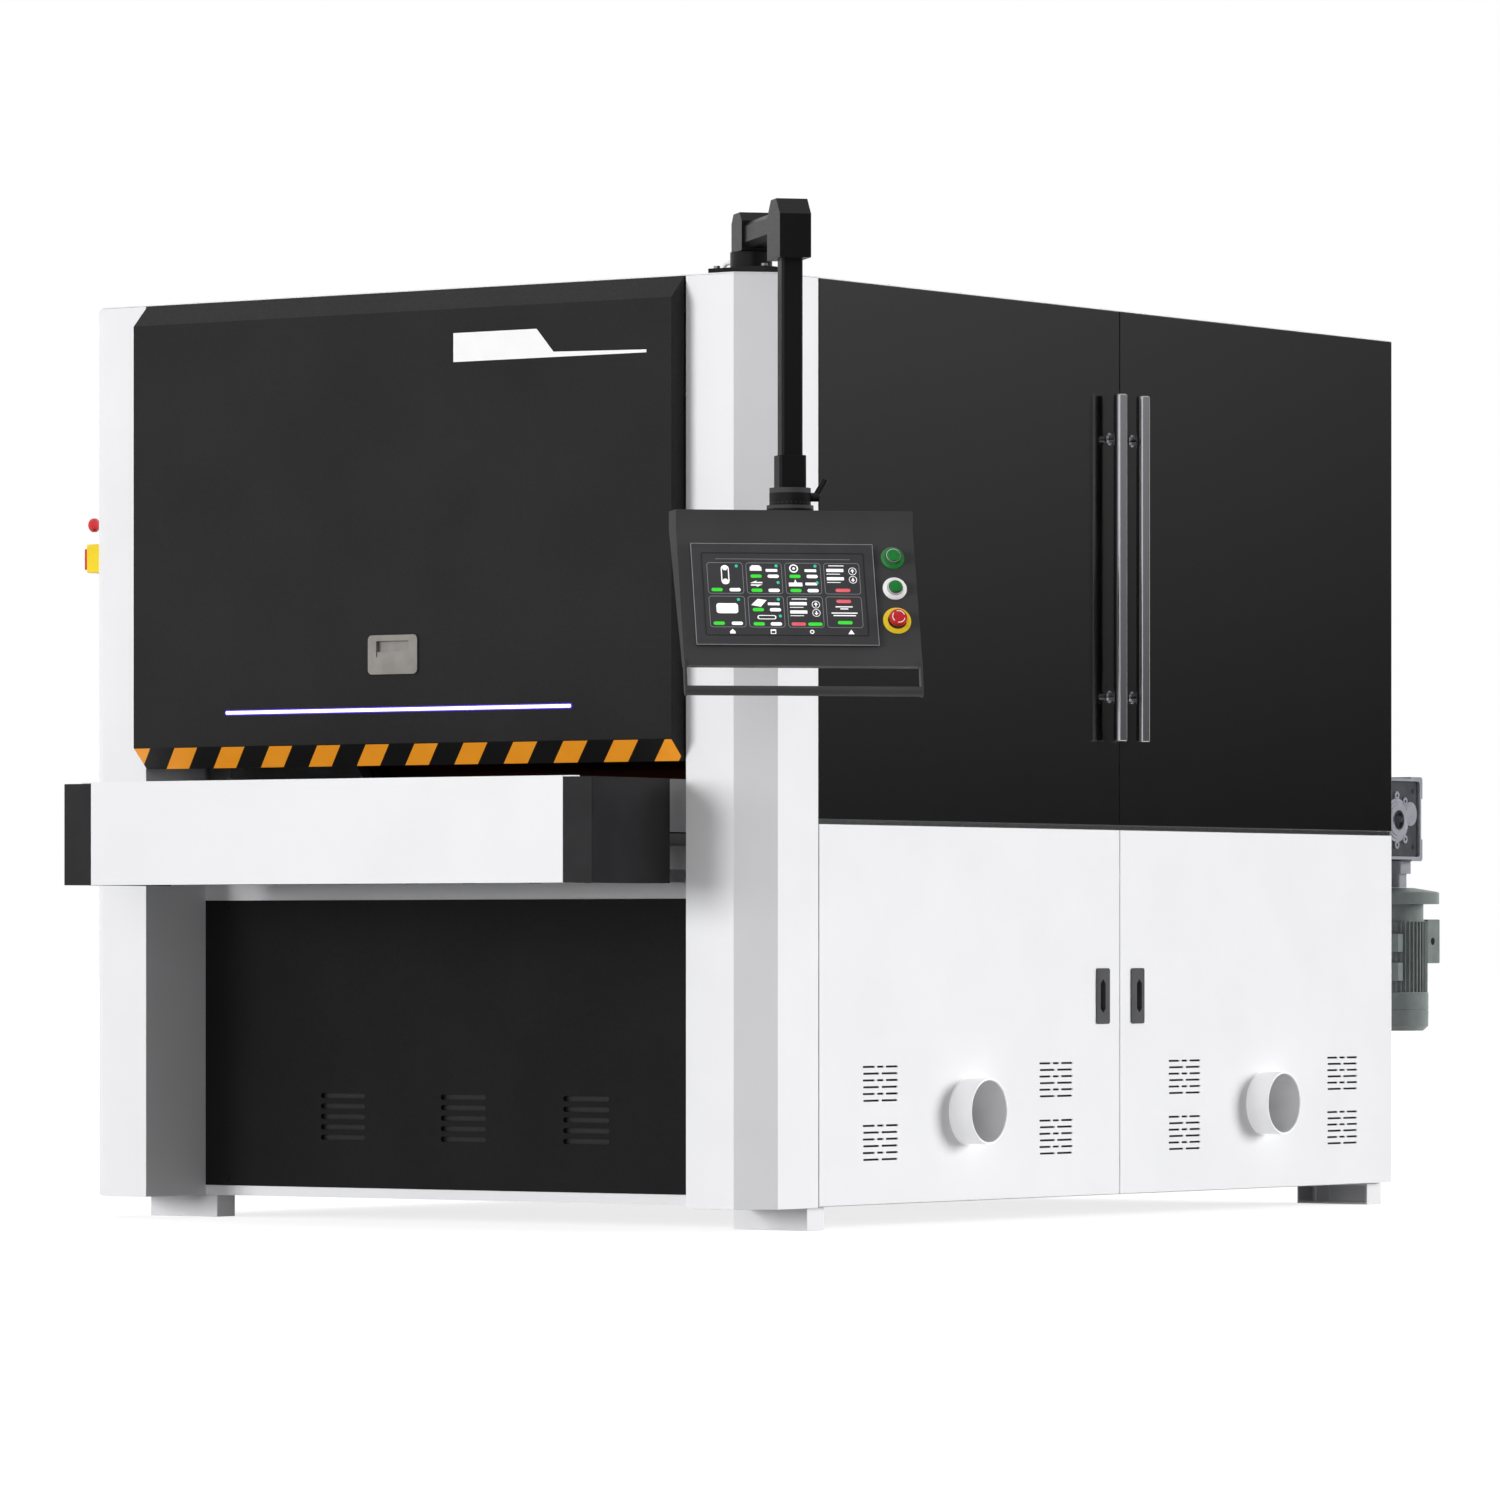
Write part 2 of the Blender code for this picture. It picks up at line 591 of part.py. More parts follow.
def lower_door(name, y, port_y, pull_y, hinge, coat):
    """Folded door with the round stub of a dust port welded into it and a hole for its pull."""
    outer, inside = pan(1, y, LOWER_DOOR_Z)
    centre = (port_y, PORT_Z)
    stub = turned([(HALF_WIDTH - SHEET / 2, HALF_WIDTH + PORT_LENGTH, PORT_RADIUS)], "X", centre, ROUND)
    bore = turned([(HALF_WIDTH - 0.02, HALF_WIDTH + PORT_LENGTH + 0.02, PORT_RADIUS - SHEET)],
                  "X", centre, ROUND)
    window = pull_box(pull_y, PULL_RIM - RUNNING, -0.02, 0.02)
    piece(name, outer, coat, hinge, add=[stub], cut=[inside, bore, window])


def pull_box(y, inset, start, end):
    """A box of the pull's outline, drawn in by inset, from start to end across the door's face."""
    half_width = PULL_SIZE[0] / 2 - inset
    half_height = PULL_SIZE[1] / 2 - inset
    return box((HALF_WIDTH + start, y - half_width, PULL_Z - half_height),
               (HALF_WIDTH + end, y + half_width, PULL_Z + half_height))


def door_pull(name, y, hinge, metal):
    """Flush pull: a thin flange on the door and a cup behind it."""
    flange = pull_box(y, 0.0, GAP, PULL_FLANGE)
    cup = pull_box(y, PULL_RIM, -PULL_DEPTH, PULL_FLANGE / 2)
    hollow = pull_box(y, PULL_RIM + 0.0015, -PULL_DEPTH + 0.0015, 0.01)
    piece(name, flange, metal, hinge, add=[cup], cut=[hollow])


def door_handle(name, y, hinge, steel):
    axis_x = HALF_WIDTH + HANDLE_STAND_OFF
    tube = turned([(HANDLE_Z[0], HANDLE_Z[1], HANDLE_RADIUS)], "Z", (axis_x, y), ROUND)
    studs = []
    for z in (HANDLE_Z[0] + STAND_OFF_INSET, HANDLE_Z[1] - STAND_OFF_INSET):
        studs.append(turned([(HALF_WIDTH + GAP, axis_x, STAND_OFF_RADIUS)], "X", (y, z), SMALL_ROUND))
    piece(name, tube, steel, hinge, add=studs, smooth=True)


# ---------------------------------------------------------------- table

def table_bed(lift, coat):
    side_x = (BED_HALF_WIDTH - BED_SIDE, BED_HALF_WIDTH)
    front = TABLE_FRONT + SKIRT_DEPTH + GAP
    plate_top = TABLE_TOP - BELT_THICKNESS - GAP
    reach = ROLLER_RADIUS + 0.011
    first = box((-BED_HALF_WIDTH, CAP_BACK + GAP, plate_top - BED_PLATE),
                (BED_HALF_WIDTH, DRIVE_Y - reach, plate_top))
    between_caps = TABLE_HALF_WIDTH - CAP_WIDTH
    members = [box((-between_caps, IDLER_Y + reach, plate_top - BED_PLATE),
                   (between_caps, CAP_BACK + 0.010, plate_top)),
               box((-side_x[1], front, BED_SIDE_Z[0] + 0.005),
                   (side_x[1], front + 0.003, BED_SIDE_Z[1] - 0.010))]
    bores = []
    for side in (-1, 1):
        members.append(side_box(side, side_x, (front, BED_BACK), BED_SIDE_Z))
        for y in UPRIGHT_Y:
            members.append(side_box(side, (side_x[0], SCREW_X + 0.035),
                                    (y - POST / 2, y + POST / 2), LUG_Z))
        ends = sorted((side * (side_x[0] - 0.01), side * (side_x[1] + 0.01)))
        for y in (IDLER_Y, DRIVE_Y):
            bores.append(bored(ends[0], ends[1], SHAFT_RADIUS, "X", (y, ROLLER_Z)))
    for y in TIE_Y:
        members.append(box((-side_x[0] - 0.005, y - TIE_SIZE[0] / 2, TIE_BOTTOM),
                           (side_x[0] + 0.005, y + TIE_SIZE[0] / 2, TIE_BOTTOM + TIE_SIZE[1])))
    piece("table_bed", first, coat, lift, add=members, cut=bores)


def table_front_panel(lift, coat):
    half = TABLE_HALF_WIDTH - CAP_WIDTH
    top = TABLE_TOP - RUNNING
    y = (TABLE_FRONT, TABLE_FRONT + SKIRT_DEPTH)
    sheet = box((-half, y[0], SKIRT_BOTTOM), (half, y[0] + SHEET, top))
    add = [box((-half, y[0], SKIRT_BOTTOM), (half, y[1], SKIRT_BOTTOM + SHEET)),
           box((-BED_HALF_WIDTH, y[0] + 0.002, top - SHEET), (BED_HALF_WIDTH, y[1], top)),
           box((-0.400, y[0] + SHEET / 2, 0.920), (0.400, y[1], 0.960))]
    piece("table_front_panel", sheet, coat, lift, add=add)


def table_cap(name, side, lift, plastic):
    """Cover of one end of the table, open towards the bed and to the back."""
    x = (TABLE_HALF_WIDTH - CAP_WIDTH + RUNNING, TABLE_HALF_WIDTH)
    top = TABLE_TOP - SHEET - 2 * RUNNING
    outer = side_box(side, x, (TABLE_FRONT, CAP_BACK), (SKIRT_BOTTOM, top))
    hollow = side_box(side, (x[0] - 0.010, x[1] - SHEET), (TABLE_FRONT + SHEET, CAP_BACK + 0.010),
                      (SKIRT_BOTTOM + SHEET, top - SHEET))
    piece(name, outer, plastic, lift, cut=[hollow])


def conveyor(lift, drive_pivot, idler_pivot, rubber, steel):
    radius = ROLLER_RADIUS + GAP
    belt = band((IDLER_Y, ROLLER_Z), radius, (DRIVE_Y, ROLLER_Z), radius, BELT_THICKNESS,
                -BELT_WIDTH / 2, BELT_WIDTH / 2)
    piece("conveyor_belt", belt, rubber, lift)
    body = BELT_WIDTH / 2 + 0.005
    stub = BED_HALF_WIDTH + 0.004
    idler = turned([(-stub, -body, SHAFT_RADIUS), (-body, body, ROLLER_RADIUS),
                    (body, stub, SHAFT_RADIUS)],
                   "X", (IDLER_Y, ROLLER_Z), SMALL_ROUND * 2)
    piece("conveyor_idler_roller", idler, steel, idler_pivot, smooth=True)
    reach = GEARBOX_X[1] - 0.030
    drive = turned([(-stub, -body, SHAFT_RADIUS), (-body, body, ROLLER_RADIUS),
                    (body, reach, SHAFT_RADIUS)],
                   "X", (DRIVE_Y, ROLLER_Z), SMALL_ROUND * 2)
    piece("conveyor_drive_roller", drive, steel, drive_pivot, smooth=True)


def worm_gearbox(lift, cast):
    y = (DRIVE_Y - GEARBOX_FRONT_REACH, DRIVE_Y + GEARBOX_FRONT_REACH)
    case = box((GEARBOX_X[0], y[0], GEARBOX_Z[0]), (GEARBOX_X[1], y[1], GEARBOX_Z[1]))
    boss = turned([(BED_HALF_WIDTH + GAP, GEARBOX_X[0] + 0.005, 0.060)], "X", (DRIVE_Y, ROLLER_Z), ROUND)
    neck = turned([(MOTOR_Z[3] + GAP, GEARBOX_Z[0] + 0.010, NECK_RADIUS)], "Z",
                  (MOTOR_X, DRIVE_Y + MOTOR_OFFSET), ROUND)
    bore = bored(BED_HALF_WIDTH - 0.01, GEARBOX_X[1] + 0.01, SHAFT_RADIUS, "X", (DRIVE_Y, ROLLER_Z))
    piece("worm_gearbox", case, cast, lift, add=[boss, neck], cut=[bore])


def conveyor_motor(lift, cast):
    centre = (MOTOR_X, DRIVE_Y + MOTOR_OFFSET)
    fan, body, flange, top = MOTOR_Z
    motor = turned([(fan, body, FAN_COVER_RADIUS), (body, flange, MOTOR_BODY_RADIUS),
                    (flange, top, MOTOR_FLANGE_RADIUS)], "Z", centre, ROUND)
    width, reach, height = TERMINAL_BOX
    terminal = box((centre[0] - width / 2, centre[1] + 0.06, TERMINAL_BOX_Z - height / 2),
                   (centre[0] + width / 2, centre[1] + reach, TERMINAL_BOX_Z + height / 2))
    piece("conveyor_motor", motor, cast, lift, add=[terminal])


def lift_screw(name, side, y, lift, steel):
    screw = turned([(SCREW_BOTTOM, LUG_Z[0] - GAP, SCREW_RADIUS)], "Z", (side * SCREW_X, y), SMALL_ROUND)
    piece(name, screw, steel, lift, smooth=True)


# ---------------------------------------------------------------- sanding heads and main drive

def contact_drum(name, y, belt_x, pivot, rubber):
    half = DRUM_HALF_WIDTH
    pulley = (belt_x - DRIVE_BELT_WIDTH / 2 - 0.003, belt_x + DRIVE_BELT_WIDTH / 2 + 0.003)
    steps = [(-WALL_X[0] + 0.004, pulley[0], DRUM_SHAFT), (pulley[0], pulley[1], PULLEY_RADIUS),
             (pulley[1], -half, DRUM_SHAFT), (-half, half, DRUM_RADIUS),
             (half, BRACKET_X[1] + 0.020, DRUM_SHAFT)]
    piece(name, turned(steps, "X", (y, DRUM_Z), ROUND), rubber, pivot, smooth=True)


def tension_roller(name, y, pivot, steel):
    half = DRUM_HALF_WIDTH
    end = BRACKET_X[1] + 0.004
    steps = [(-end, -half, SHAFT_RADIUS), (-half, half, TENSION_RADIUS), (half, end, SHAFT_RADIUS)]
    piece(name, turned(steps, "X", (y, TENSION_Z), ROUND), steel, pivot, smooth=True)


def abrasive_belt(name, y, root, grit):
    belt = band((y, DRUM_Z), DRUM_RADIUS + GAP, (y, TENSION_Z), TENSION_RADIUS + GAP,
                ABRASIVE_THICKNESS, -ABRASIVE_HALF_WIDTH, ABRASIVE_HALF_WIDTH)
    piece(name, belt, grit, root)


def drive_belt(name, y, x, root, rubber):
    belt = band((MAIN_MOTOR_Y, MAIN_MOTOR_Z), MOTOR_PULLEY_RADIUS + GAP, (y, DRUM_Z),
                PULLEY_RADIUS + GAP, DRIVE_BELT_THICKNESS,
                x - DRIVE_BELT_WIDTH / 2, x + DRIVE_BELT_WIDTH / 2)
    piece(name, belt, rubber, root)


def main_motor(root, pivot, cast, steel):
    centre = (MAIN_MOTOR_Y, MAIN_MOTOR_Z)
    body = turned([(MAIN_MOTOR_X[0], MAIN_MOTOR_X[1], MAIN_MOTOR_RADIUS)], "X", centre, ROUND)
    middle = sum(MAIN_MOTOR_X) / 2
    long, wide = MAIN_MOTOR_FEET
    seat = BASE_TOP + GAP
    plate = box((middle - long / 2, MAIN_MOTOR_Y - wide / 2, seat),
                (middle + long / 2, MAIN_MOTOR_Y + wide / 2, seat + 0.028))
    pedestal = box((middle - long / 2 + 0.02, MAIN_MOTOR_Y - 0.080, seat + 0.020),
                   (middle + long / 2 - 0.02, MAIN_MOTOR_Y + 0.080, MAIN_MOTOR_Z - 0.090))
    bore = bored(MAIN_MOTOR_X[0] - 0.01, MAIN_MOTOR_X[0] + 0.070, SHAFT_RADIUS, "X", centre)
    piece("main_motor", body, cast, root, add=[plate, pedestal], cut=[bore])
    left = min(DRIVE_BELT_X) - DRIVE_BELT_WIDTH / 2 - 0.003
    right = max(DRIVE_BELT_X) + DRIVE_BELT_WIDTH / 2 + 0.003
    steps = [(left, right, MOTOR_PULLEY_RADIUS), (right, MAIN_MOTOR_X[0] + 0.060, SHAFT_RADIUS)]
    piece("motor_pulley", turned(steps, "X", centre, ROUND), steel, pivot, smooth=True)


# ---------------------------------------------------------------- side switches

def side_switches(root, knob_pivot, stop_pivot, yellow, red):
    x = -HALF_WIDTH - GAP
    half = ISOLATOR_SIZE / 2
    body = box((x - ISOLATOR_DEPTH, SWITCH_Y - half, ISOLATOR_Z - half),
               (x, SWITCH_Y + half, ISOLATOR_Z + half))
    piece("isolator_body", body, yellow, root)
    start = x - ISOLATOR_DEPTH - GAP
    hub = turned([(start - KNOB_DEPTH * 0.4, start, KNOB_RADIUS)], "X", (SWITCH_Y, ISOLATOR_Z), ROUND)
    grip = box((start - KNOB_DEPTH, SWITCH_Y - 0.007, ISOLATOR_Z - KNOB_RADIUS),
               (start - 0.002, SWITCH_Y + 0.007, ISOLATOR_Z + KNOB_RADIUS))
    piece("isolator_knob", hub, red, knob_pivot, add=[grip])
    cap_end = x - SIDE_STOP_LENGTH + SIDE_STOP_CAP
    steps = [(x - SIDE_STOP_LENGTH, cap_end, SIDE_STOP_RADIUS), (cap_end, x + 0.020, SIDE_STOP_NECK)]
    piece("side_estop_button", turned(steps, "X", (SWITCH_Y, SIDE_STOP_Z), SMALL_ROUND), red, stop_pivot,
          smooth=True)


# ---------------------------------------------------------------- swing arm

def arm_base(root, coat):
    x, y = ARM_AXIS
    seat = BODY_TOP + GAP
    long, wide, thick = ARM_PLATE
    plate = box((x - long / 2, y - wide / 2, seat), (x + long / 2, y + wide / 2, seat + thick))
    tower = turned([(seat + thick / 2, ARM_BASE_TOP, ARM_BASE_RADIUS)], "Z", ARM_AXIS, ROUND)
    socket = bored(ARM_BASE_TOP - ARM_PIVOT[1] - 0.003, ARM_BASE_TOP + 0.01, ARM_PIVOT[0], "Z", ARM_AXIS)
    piece("arm_base", plate, coat, root, add=[tower], cut=[socket])


def chamfered(width, height, cut):
    """A rectangle about the origin with its four corners cut."""
    a, b = width / 2, height / 2
    return [(-a + cut, -b), (a - cut, -b), (a, -b + cut), (a, b - cut),
            (a - cut, b), (-a + cut, b), (-a, b - cut), (-a, -b + cut)]


def roofed(depth, low, high, cut):
    """Side view of a box whose two upper edges are cut at 45 degrees."""
    front, back = depth
    return [(front, low), (back, low), (back, high - cut), (back - cut, high),
            (front + cut, high), (front, high - cut)]


def swing_arm(pivot, coat):
    """Elbow, horizontal tube, head box, pole and its square sleeve, in the arm's own axes."""
    bottom = ARM_BASE_TOP + GAP
    top = bottom + ELBOW[2]
    elbow = prism(roofed((-ELBOW[1] / 2, ELBOW[1] / 2), bottom, top, 0.020), "X",
                  -ELBOW[0] / 2, ELBOW[0] / 2)
    tube_line = [(x, z + ARM_TUBE_Z) for x, z in chamfered(ARM_TUBE[0], ARM_TUBE[1], 0.012)]
    tube = prism(tube_line, "Y", -ARM_REACH, -0.010)
    front = -ARM_REACH - HEAD_BOX[1] * 0.42
    head = prism(roofed((front, front + HEAD_BOX[1]), top - HEAD_BOX[2], top, HEAD_CHAMFER), "X",
                 -HEAD_BOX[0] / 2, HEAD_BOX[0] / 2)
    line = [(x, y - ARM_REACH) for x, y in chamfered(POLE_SIZE, POLE_SIZE, POLE_CHAMFER)]
    pole = prism(line, "Z", SLEEVE_Z[0] + 0.004, top - HEAD_BOX[2] + 0.020)
    line = [(x, y - ARM_REACH) for x, y in chamfered(SLEEVE_SIZE, SLEEVE_SIZE, POLE_CHAMFER)]
    sleeve = prism(line, "Z", SLEEVE_Z[0], SLEEVE_Z[1])
    stud = turned([(PANEL_TOP + 0.020, SLEEVE_Z[0] + 0.010, PIVOT_RADIUS)], "Z",
                  (0.0, -ARM_REACH), SMALL_ROUND)
    root_stud = turned([(ARM_BASE_TOP - ARM_PIVOT[1], bottom + 0.010, ARM_PIVOT[0])], "Z",
                       (0.0, 0.0), SMALL_ROUND)
    piece("swing_arm", elbow, coat, pivot, add=[tube, head, pole, sleeve, stud, root_stud], local=True)


# ---------------------------------------------------------------- control panel

def face_frame():
    """Axes of the tilted face: origin at the middle of its top edge, Z out of the face, -Y down it."""
    top_edge = Vector((0.0, -FASCIA_FORWARD, PANEL_TOP - FASCIA_HEIGHT))
    return Matrix.Translation(top_edge) @ Matrix.Rotation(math.pi / 2 - FACE_TILT, 4, "X")


def panel_housing(pivot, coat):
    """Wedge housing with the swivel collar on top and the hand bar below."""
    half = PANEL_WIDTH / 2
    drop = FACE_LENGTH * math.cos(FACE_TILT)
    forward = FACE_LENGTH * math.sin(FACE_TILT)
    shoulder = PANEL_TOP - FASCIA_HEIGHT
    low = (-FASCIA_FORWARD - forward, shoulder - drop)
    outline = [(PANEL_BACK, PANEL_TOP), (-FASCIA_FORWARD, PANEL_TOP), (-FASCIA_FORWARD, shoulder), low,
               (low[0] + FOOT_THICKNESS, low[1] - 0.004), (PANEL_BACK, shoulder)]
    shell = prism(outline, "X", -half, half)
    wall = SHEET
    inner = [(PANEL_BACK - wall, PANEL_TOP - wall), (-FASCIA_FORWARD + wall, PANEL_TOP - wall),
             (-FASCIA_FORWARD + wall, shoulder - wall / 4), (low[0] + wall * 1.6, low[1] + wall),
             (low[0] + FOOT_THICKNESS - wall * 0.6, low[1] + wall * 0.8),
              (PANEL_BACK - wall, shoulder + wall / 2)]
    hollow = prism(inner, "X", -half + wall, half - wall)
    bar_y = low[0] - 0.002
    bar_z = low[1] - BAR_DROP
    bar = turned([(-half + 0.001, half - 0.001, BAR_RADIUS)], "X", (bar_y, bar_z), SMALL_ROUND)
    cheek = [(low[0] + 0.002, low[1] + 0.012), (bar_y - BAR_RADIUS - 0.001, bar_z - 0.004),
             (bar_y, bar_z - BAR_RADIUS - 0.002), (bar_y + BAR_RADIUS + 0.002, bar_z - 0.002),
             (low[0] + FOOT_THICKNESS * 0.8, low[1] + 0.004)]
    cheeks = [prism(cheek, "X", -half, -half + CHEEK), prism(cheek, "X", half - CHEEK, half)]
    collar = turned([(PANEL_TOP - wall / 2, PANEL_TOP + 0.013, SWIVEL_RADIUS + 0.006),
                     (PANEL_TOP + 0.013, SLEEVE_Z[0] - GAP, SWIVEL_RADIUS)], "Z", (0.0, 0.0), ROUND)
    socket = bored(PANEL_TOP + 0.012, SLEEVE_Z[0] + 0.01, PIVOT_RADIUS, "Z", (0.0, 0.0))
    to_face = face_frame()
    lip = SCREEN_LIP
    window = moved(box((SCREEN_OFFSET - SCREEN_SIZE[0] / 2 + lip,
                       -SCREEN_FROM_TOP - SCREEN_SIZE[1] + lip, -0.02),
                       (SCREEN_OFFSET + SCREEN_SIZE[0] / 2 - lip, -SCREEN_FROM_TOP - lip, 0.02)), to_face)
    holes = []
    for down in BUTTON_FROM_TOP:
        holes.append(moved(bored(-0.012, 0.012, BUTTON_SHANK, "Z", (BUTTON_X, -down)), to_face))
    piece("panel_housing", shell, coat, pivot, add=[bar, *cheeks, collar],
          cut=[hollow, window, *holes, socket], local=True)


def hmi_screen(pivot, plastic):
    wide, high = SCREEN_SIZE
    low = (SCREEN_OFFSET - wide / 2, -SCREEN_FROM_TOP - high)
    high_corner = (SCREEN_OFFSET + wide / 2, -SCREEN_FROM_TOP)
    bezel = box((low[0], low[1], GAP), (high_corner[0], high_corner[1], SCREEN_PROUD))
    inset = SCREEN_LIP + RUNNING
    body = box((low[0] + inset, low[1] + inset, -SCREEN_BODY),
               (high_corner[0] - inset, high_corner[1] - inset, SCREEN_PROUD / 2))
    to_face = face_frame()
    piece("hmi_screen", moved(bezel, to_face), plastic, pivot, add=[moved(body, to_face)], local=True)


def panel_button(name, down, radius, height, pivot, colour):
    """A button cap on its shank; the shank runs in the hole of the housing."""
    rise = 0.006
    steps = [(-BUTTON_SHANK_LENGTH + rise, rise, BUTTON_SHANK), (rise, height, radius)]
    button = moved(turned(steps, "Z", (BUTTON_X, -down), SMALL_ROUND), face_frame())
    piece(name, button, colour, pivot, local=True, smooth=True)


def lock_lever(pivot, plastic):
    """Clamping lever on the swivel collar: a hub and a raised arm."""
    start = SWIVEL_RADIUS + GAP
    hub = turned([(start, start + 0.018, 0.010)], "X", (0.0, LEVER_Z), SMALL_ROUND)
    arm = turned([(LEVER_Z - 0.004, LEVER_Z + LEVER_LENGTH, LEVER_RADIUS)], "Z",
                 (start + 0.010, 0.0), SMALL_ROUND)
    lean = (Matrix.Translation((start + 0.010, 0.0, LEVER_Z)) @ Matrix.Rotation(math.radians(30), 4, "Y")
            @ Matrix.Translation((-start - 0.010, 0.0, -LEVER_Z)))
    piece("lock_lever", hub, plastic, pivot, add=[moved(arm, lean)], local=True)


# ---------------------------------------------------------------- assembly

def build_body(root, white, black):
    base_frame(root, white)
    side_frame("frame_left", -1, root, white)
    side_frame("frame_right", 1, root, white)
    front_rail(root, white)
    neck = bored(-HALF_WIDTH - 0.01, -HALF_WIDTH + 0.01, SIDE_STOP_NECK, "X", (SWITCH_Y, SIDE_STOP_Z))
    column("column_left", -1, root, white, cut=[neck])
    column("column_right", 1, root, white)
    roof_panel(root, white)
    left_side_panel(root, white)
    rear_panel(root, white)
    front_lower_panel(root, black)
    front_y = COLUMN_RETURN + 0.004
    back_y = BODY_DEPTH - SHEET - FOOT_SIZE[1]
    for end, y, facing in (("front", front_y, 1), ("rear", back_y, -1)):
        for word, side in (("left", -1), ("right", 1)):
            foot(f"foot_{end}_{word}", side, y, facing, root, white)


def build_doors(datum, white, gloss, steel):
    half_gap = DOOR_SIDE_GAP / 2
    spans = {"front": (DOOR_START, DOOR_MIDDLE - half_gap), "rear": (DOOR_MIDDLE + half_gap, DOOR_END)}
    hinge_y = {"front": DOOR_START - half_gap, "rear": DOOR_END + half_gap / 2}
    for end, away in (("front", 1), ("rear", -1)):
        span = spans[end]
        edge = span[0] if away > 0 else span[1]
        upper = holder(f"upper_{end}_door_hinge", (HALF_WIDTH, hinge_y[end], UPPER_DOOR_BOTTOM), datum)
        upper_door(f"upper_{end}_door", span, upper, gloss)
        door_handle(f"{end}_door_handle", DOOR_MIDDLE - away * HANDLE_FROM_MIDDLE, upper, steel)
        lower = holder(f"lower_{end}_door_hinge", (HALF_WIDTH, hinge_y[end], LOWER_DOOR_Z[0]), datum)
        pull_y = DOOR_MIDDLE - away * PULL_FROM_MIDDLE
        lower_door(f"lower_{end}_door", span, edge + away * PORT_FROM_HINGE, pull_y, lower, white)
        door_pull(f"{end}_door_pull", pull_y, lower, steel)


def build_table(datum, white, black, rubber, steel, cast):
    lift = holder("table_lift", (0.0, 0.0, TABLE_TOP), datum)
    drive = holder("conveyor_drive_axis", (0.0, DRIVE_Y, ROLLER_Z), datum)
    idler = holder("conveyor_idler_axis", (0.0, IDLER_Y, ROLLER_Z), datum)
    table_bed(lift, white)
    table_front_panel(lift, white)
    table_cap("table_cap_left", -1, lift, black)
    table_cap("table_cap_right", 1, lift, black)
    conveyor(lift, drive, idler, rubber, steel)
    worm_gearbox(lift, cast)
    conveyor_motor(lift, cast)
    for end, y in zip(("front", "rear"), UPRIGHT_Y):
        for word, side in (("left", -1), ("right", 1)):
            lift_screw(f"lift_screw_{end}_{word}", side, y, lift, steel)


def build_heads(root, datum, white, rubber, grit, steel, cast):
    for end, y, belt_x in zip(("front", "rear"), HEAD_Y, DRIVE_BELT_X):
        sanding_beam(f"sanding_beam_{end}", y, root, white)
        drum_axis = holder(f"contact_drum_{end}_axis", (0.0, y, DRUM_Z), datum)
        contact_drum(f"contact_drum_{end}", y, belt_x, drum_axis, rubber)
        roller_axis = holder(f"tension_roller_{end}_axis", (0.0, y, TENSION_Z), datum)
        tension_roller(f"tension_roller_{end}", y, roller_axis, steel)
        abrasive_belt(f"abrasive_belt_{end}", y, root, grit)
        drive_belt(f"drive_belt_{end}", y, belt_x, root, rubber)
    motor_axis = holder("motor_pulley_axis", (MAIN_MOTOR_X[0], MAIN_MOTOR_Y, MAIN_MOTOR_Z), datum)
    main_motor(root, motor_axis, cast, steel)


def build_controls(root, datum, black, plastic, green, red, yellow):
    knob = holder("isolator_knob_axis", (-HALF_WIDTH - ISOLATOR_DEPTH, SWITCH_Y, ISOLATOR_Z), datum)
    stop = holder("side_estop_axis", (-HALF_WIDTH, SWITCH_Y, SIDE_STOP_Z), datum)
    side_switches(root, knob, stop, yellow, red)
    arm_base(root, black)
    arm_axis = holder("arm_swivel_axis", (ARM_AXIS[0], ARM_AXIS[1], 0.0), datum, ARM_TURN)
    swing_arm(arm_axis, black)
    pole = Vector((0.0, -ARM_REACH, 0.0))
    pole.rotate(Matrix.Rotation(ARM_TURN, 3, "Z"))
    pole += Vector((ARM_AXIS[0], ARM_AXIS[1], 0.0))
    panel_axis = holder("panel_swivel_axis", pole, datum, PANEL_TURN)
    panel_housing(panel_axis, black)
    hmi_screen(panel_axis, plastic)
    panel_button("start_button", BUTTON_FROM_TOP[0], BUTTON_RADIUS, BUTTON_HEIGHT, panel_axis, green)
    panel_button("feed_button", BUTTON_FROM_TOP[1], BUTTON_RADIUS, BUTTON_HEIGHT, panel_axis, green)
    panel_button("panel_estop_button", BUTTON_FROM_TOP[2], STOP_RADIUS, STOP_HEIGHT, panel_axis, red)
    lock_lever(panel_axis, plastic)


def move_to_origin(datum):
    """Puts the middle of the whole object's box over the origin, with the feet on Z = 0."""
    bpy.context.view_layer.update()
    graph = bpy.context.evaluated_depsgraph_get()
    corners = []
    for item in bpy.data.objects:
        if item.type == "MESH" and not item.hide_render:
            ready = item.evaluated_get(graph)
            corners += [ready.matrix_world @ Vector(corner) for corner in ready.bound_box]
    for axis in (0, 1):
        values = [corner[axis] for corner in corners]
        datum.location[axis] = -(min(values) + max(values)) / 2


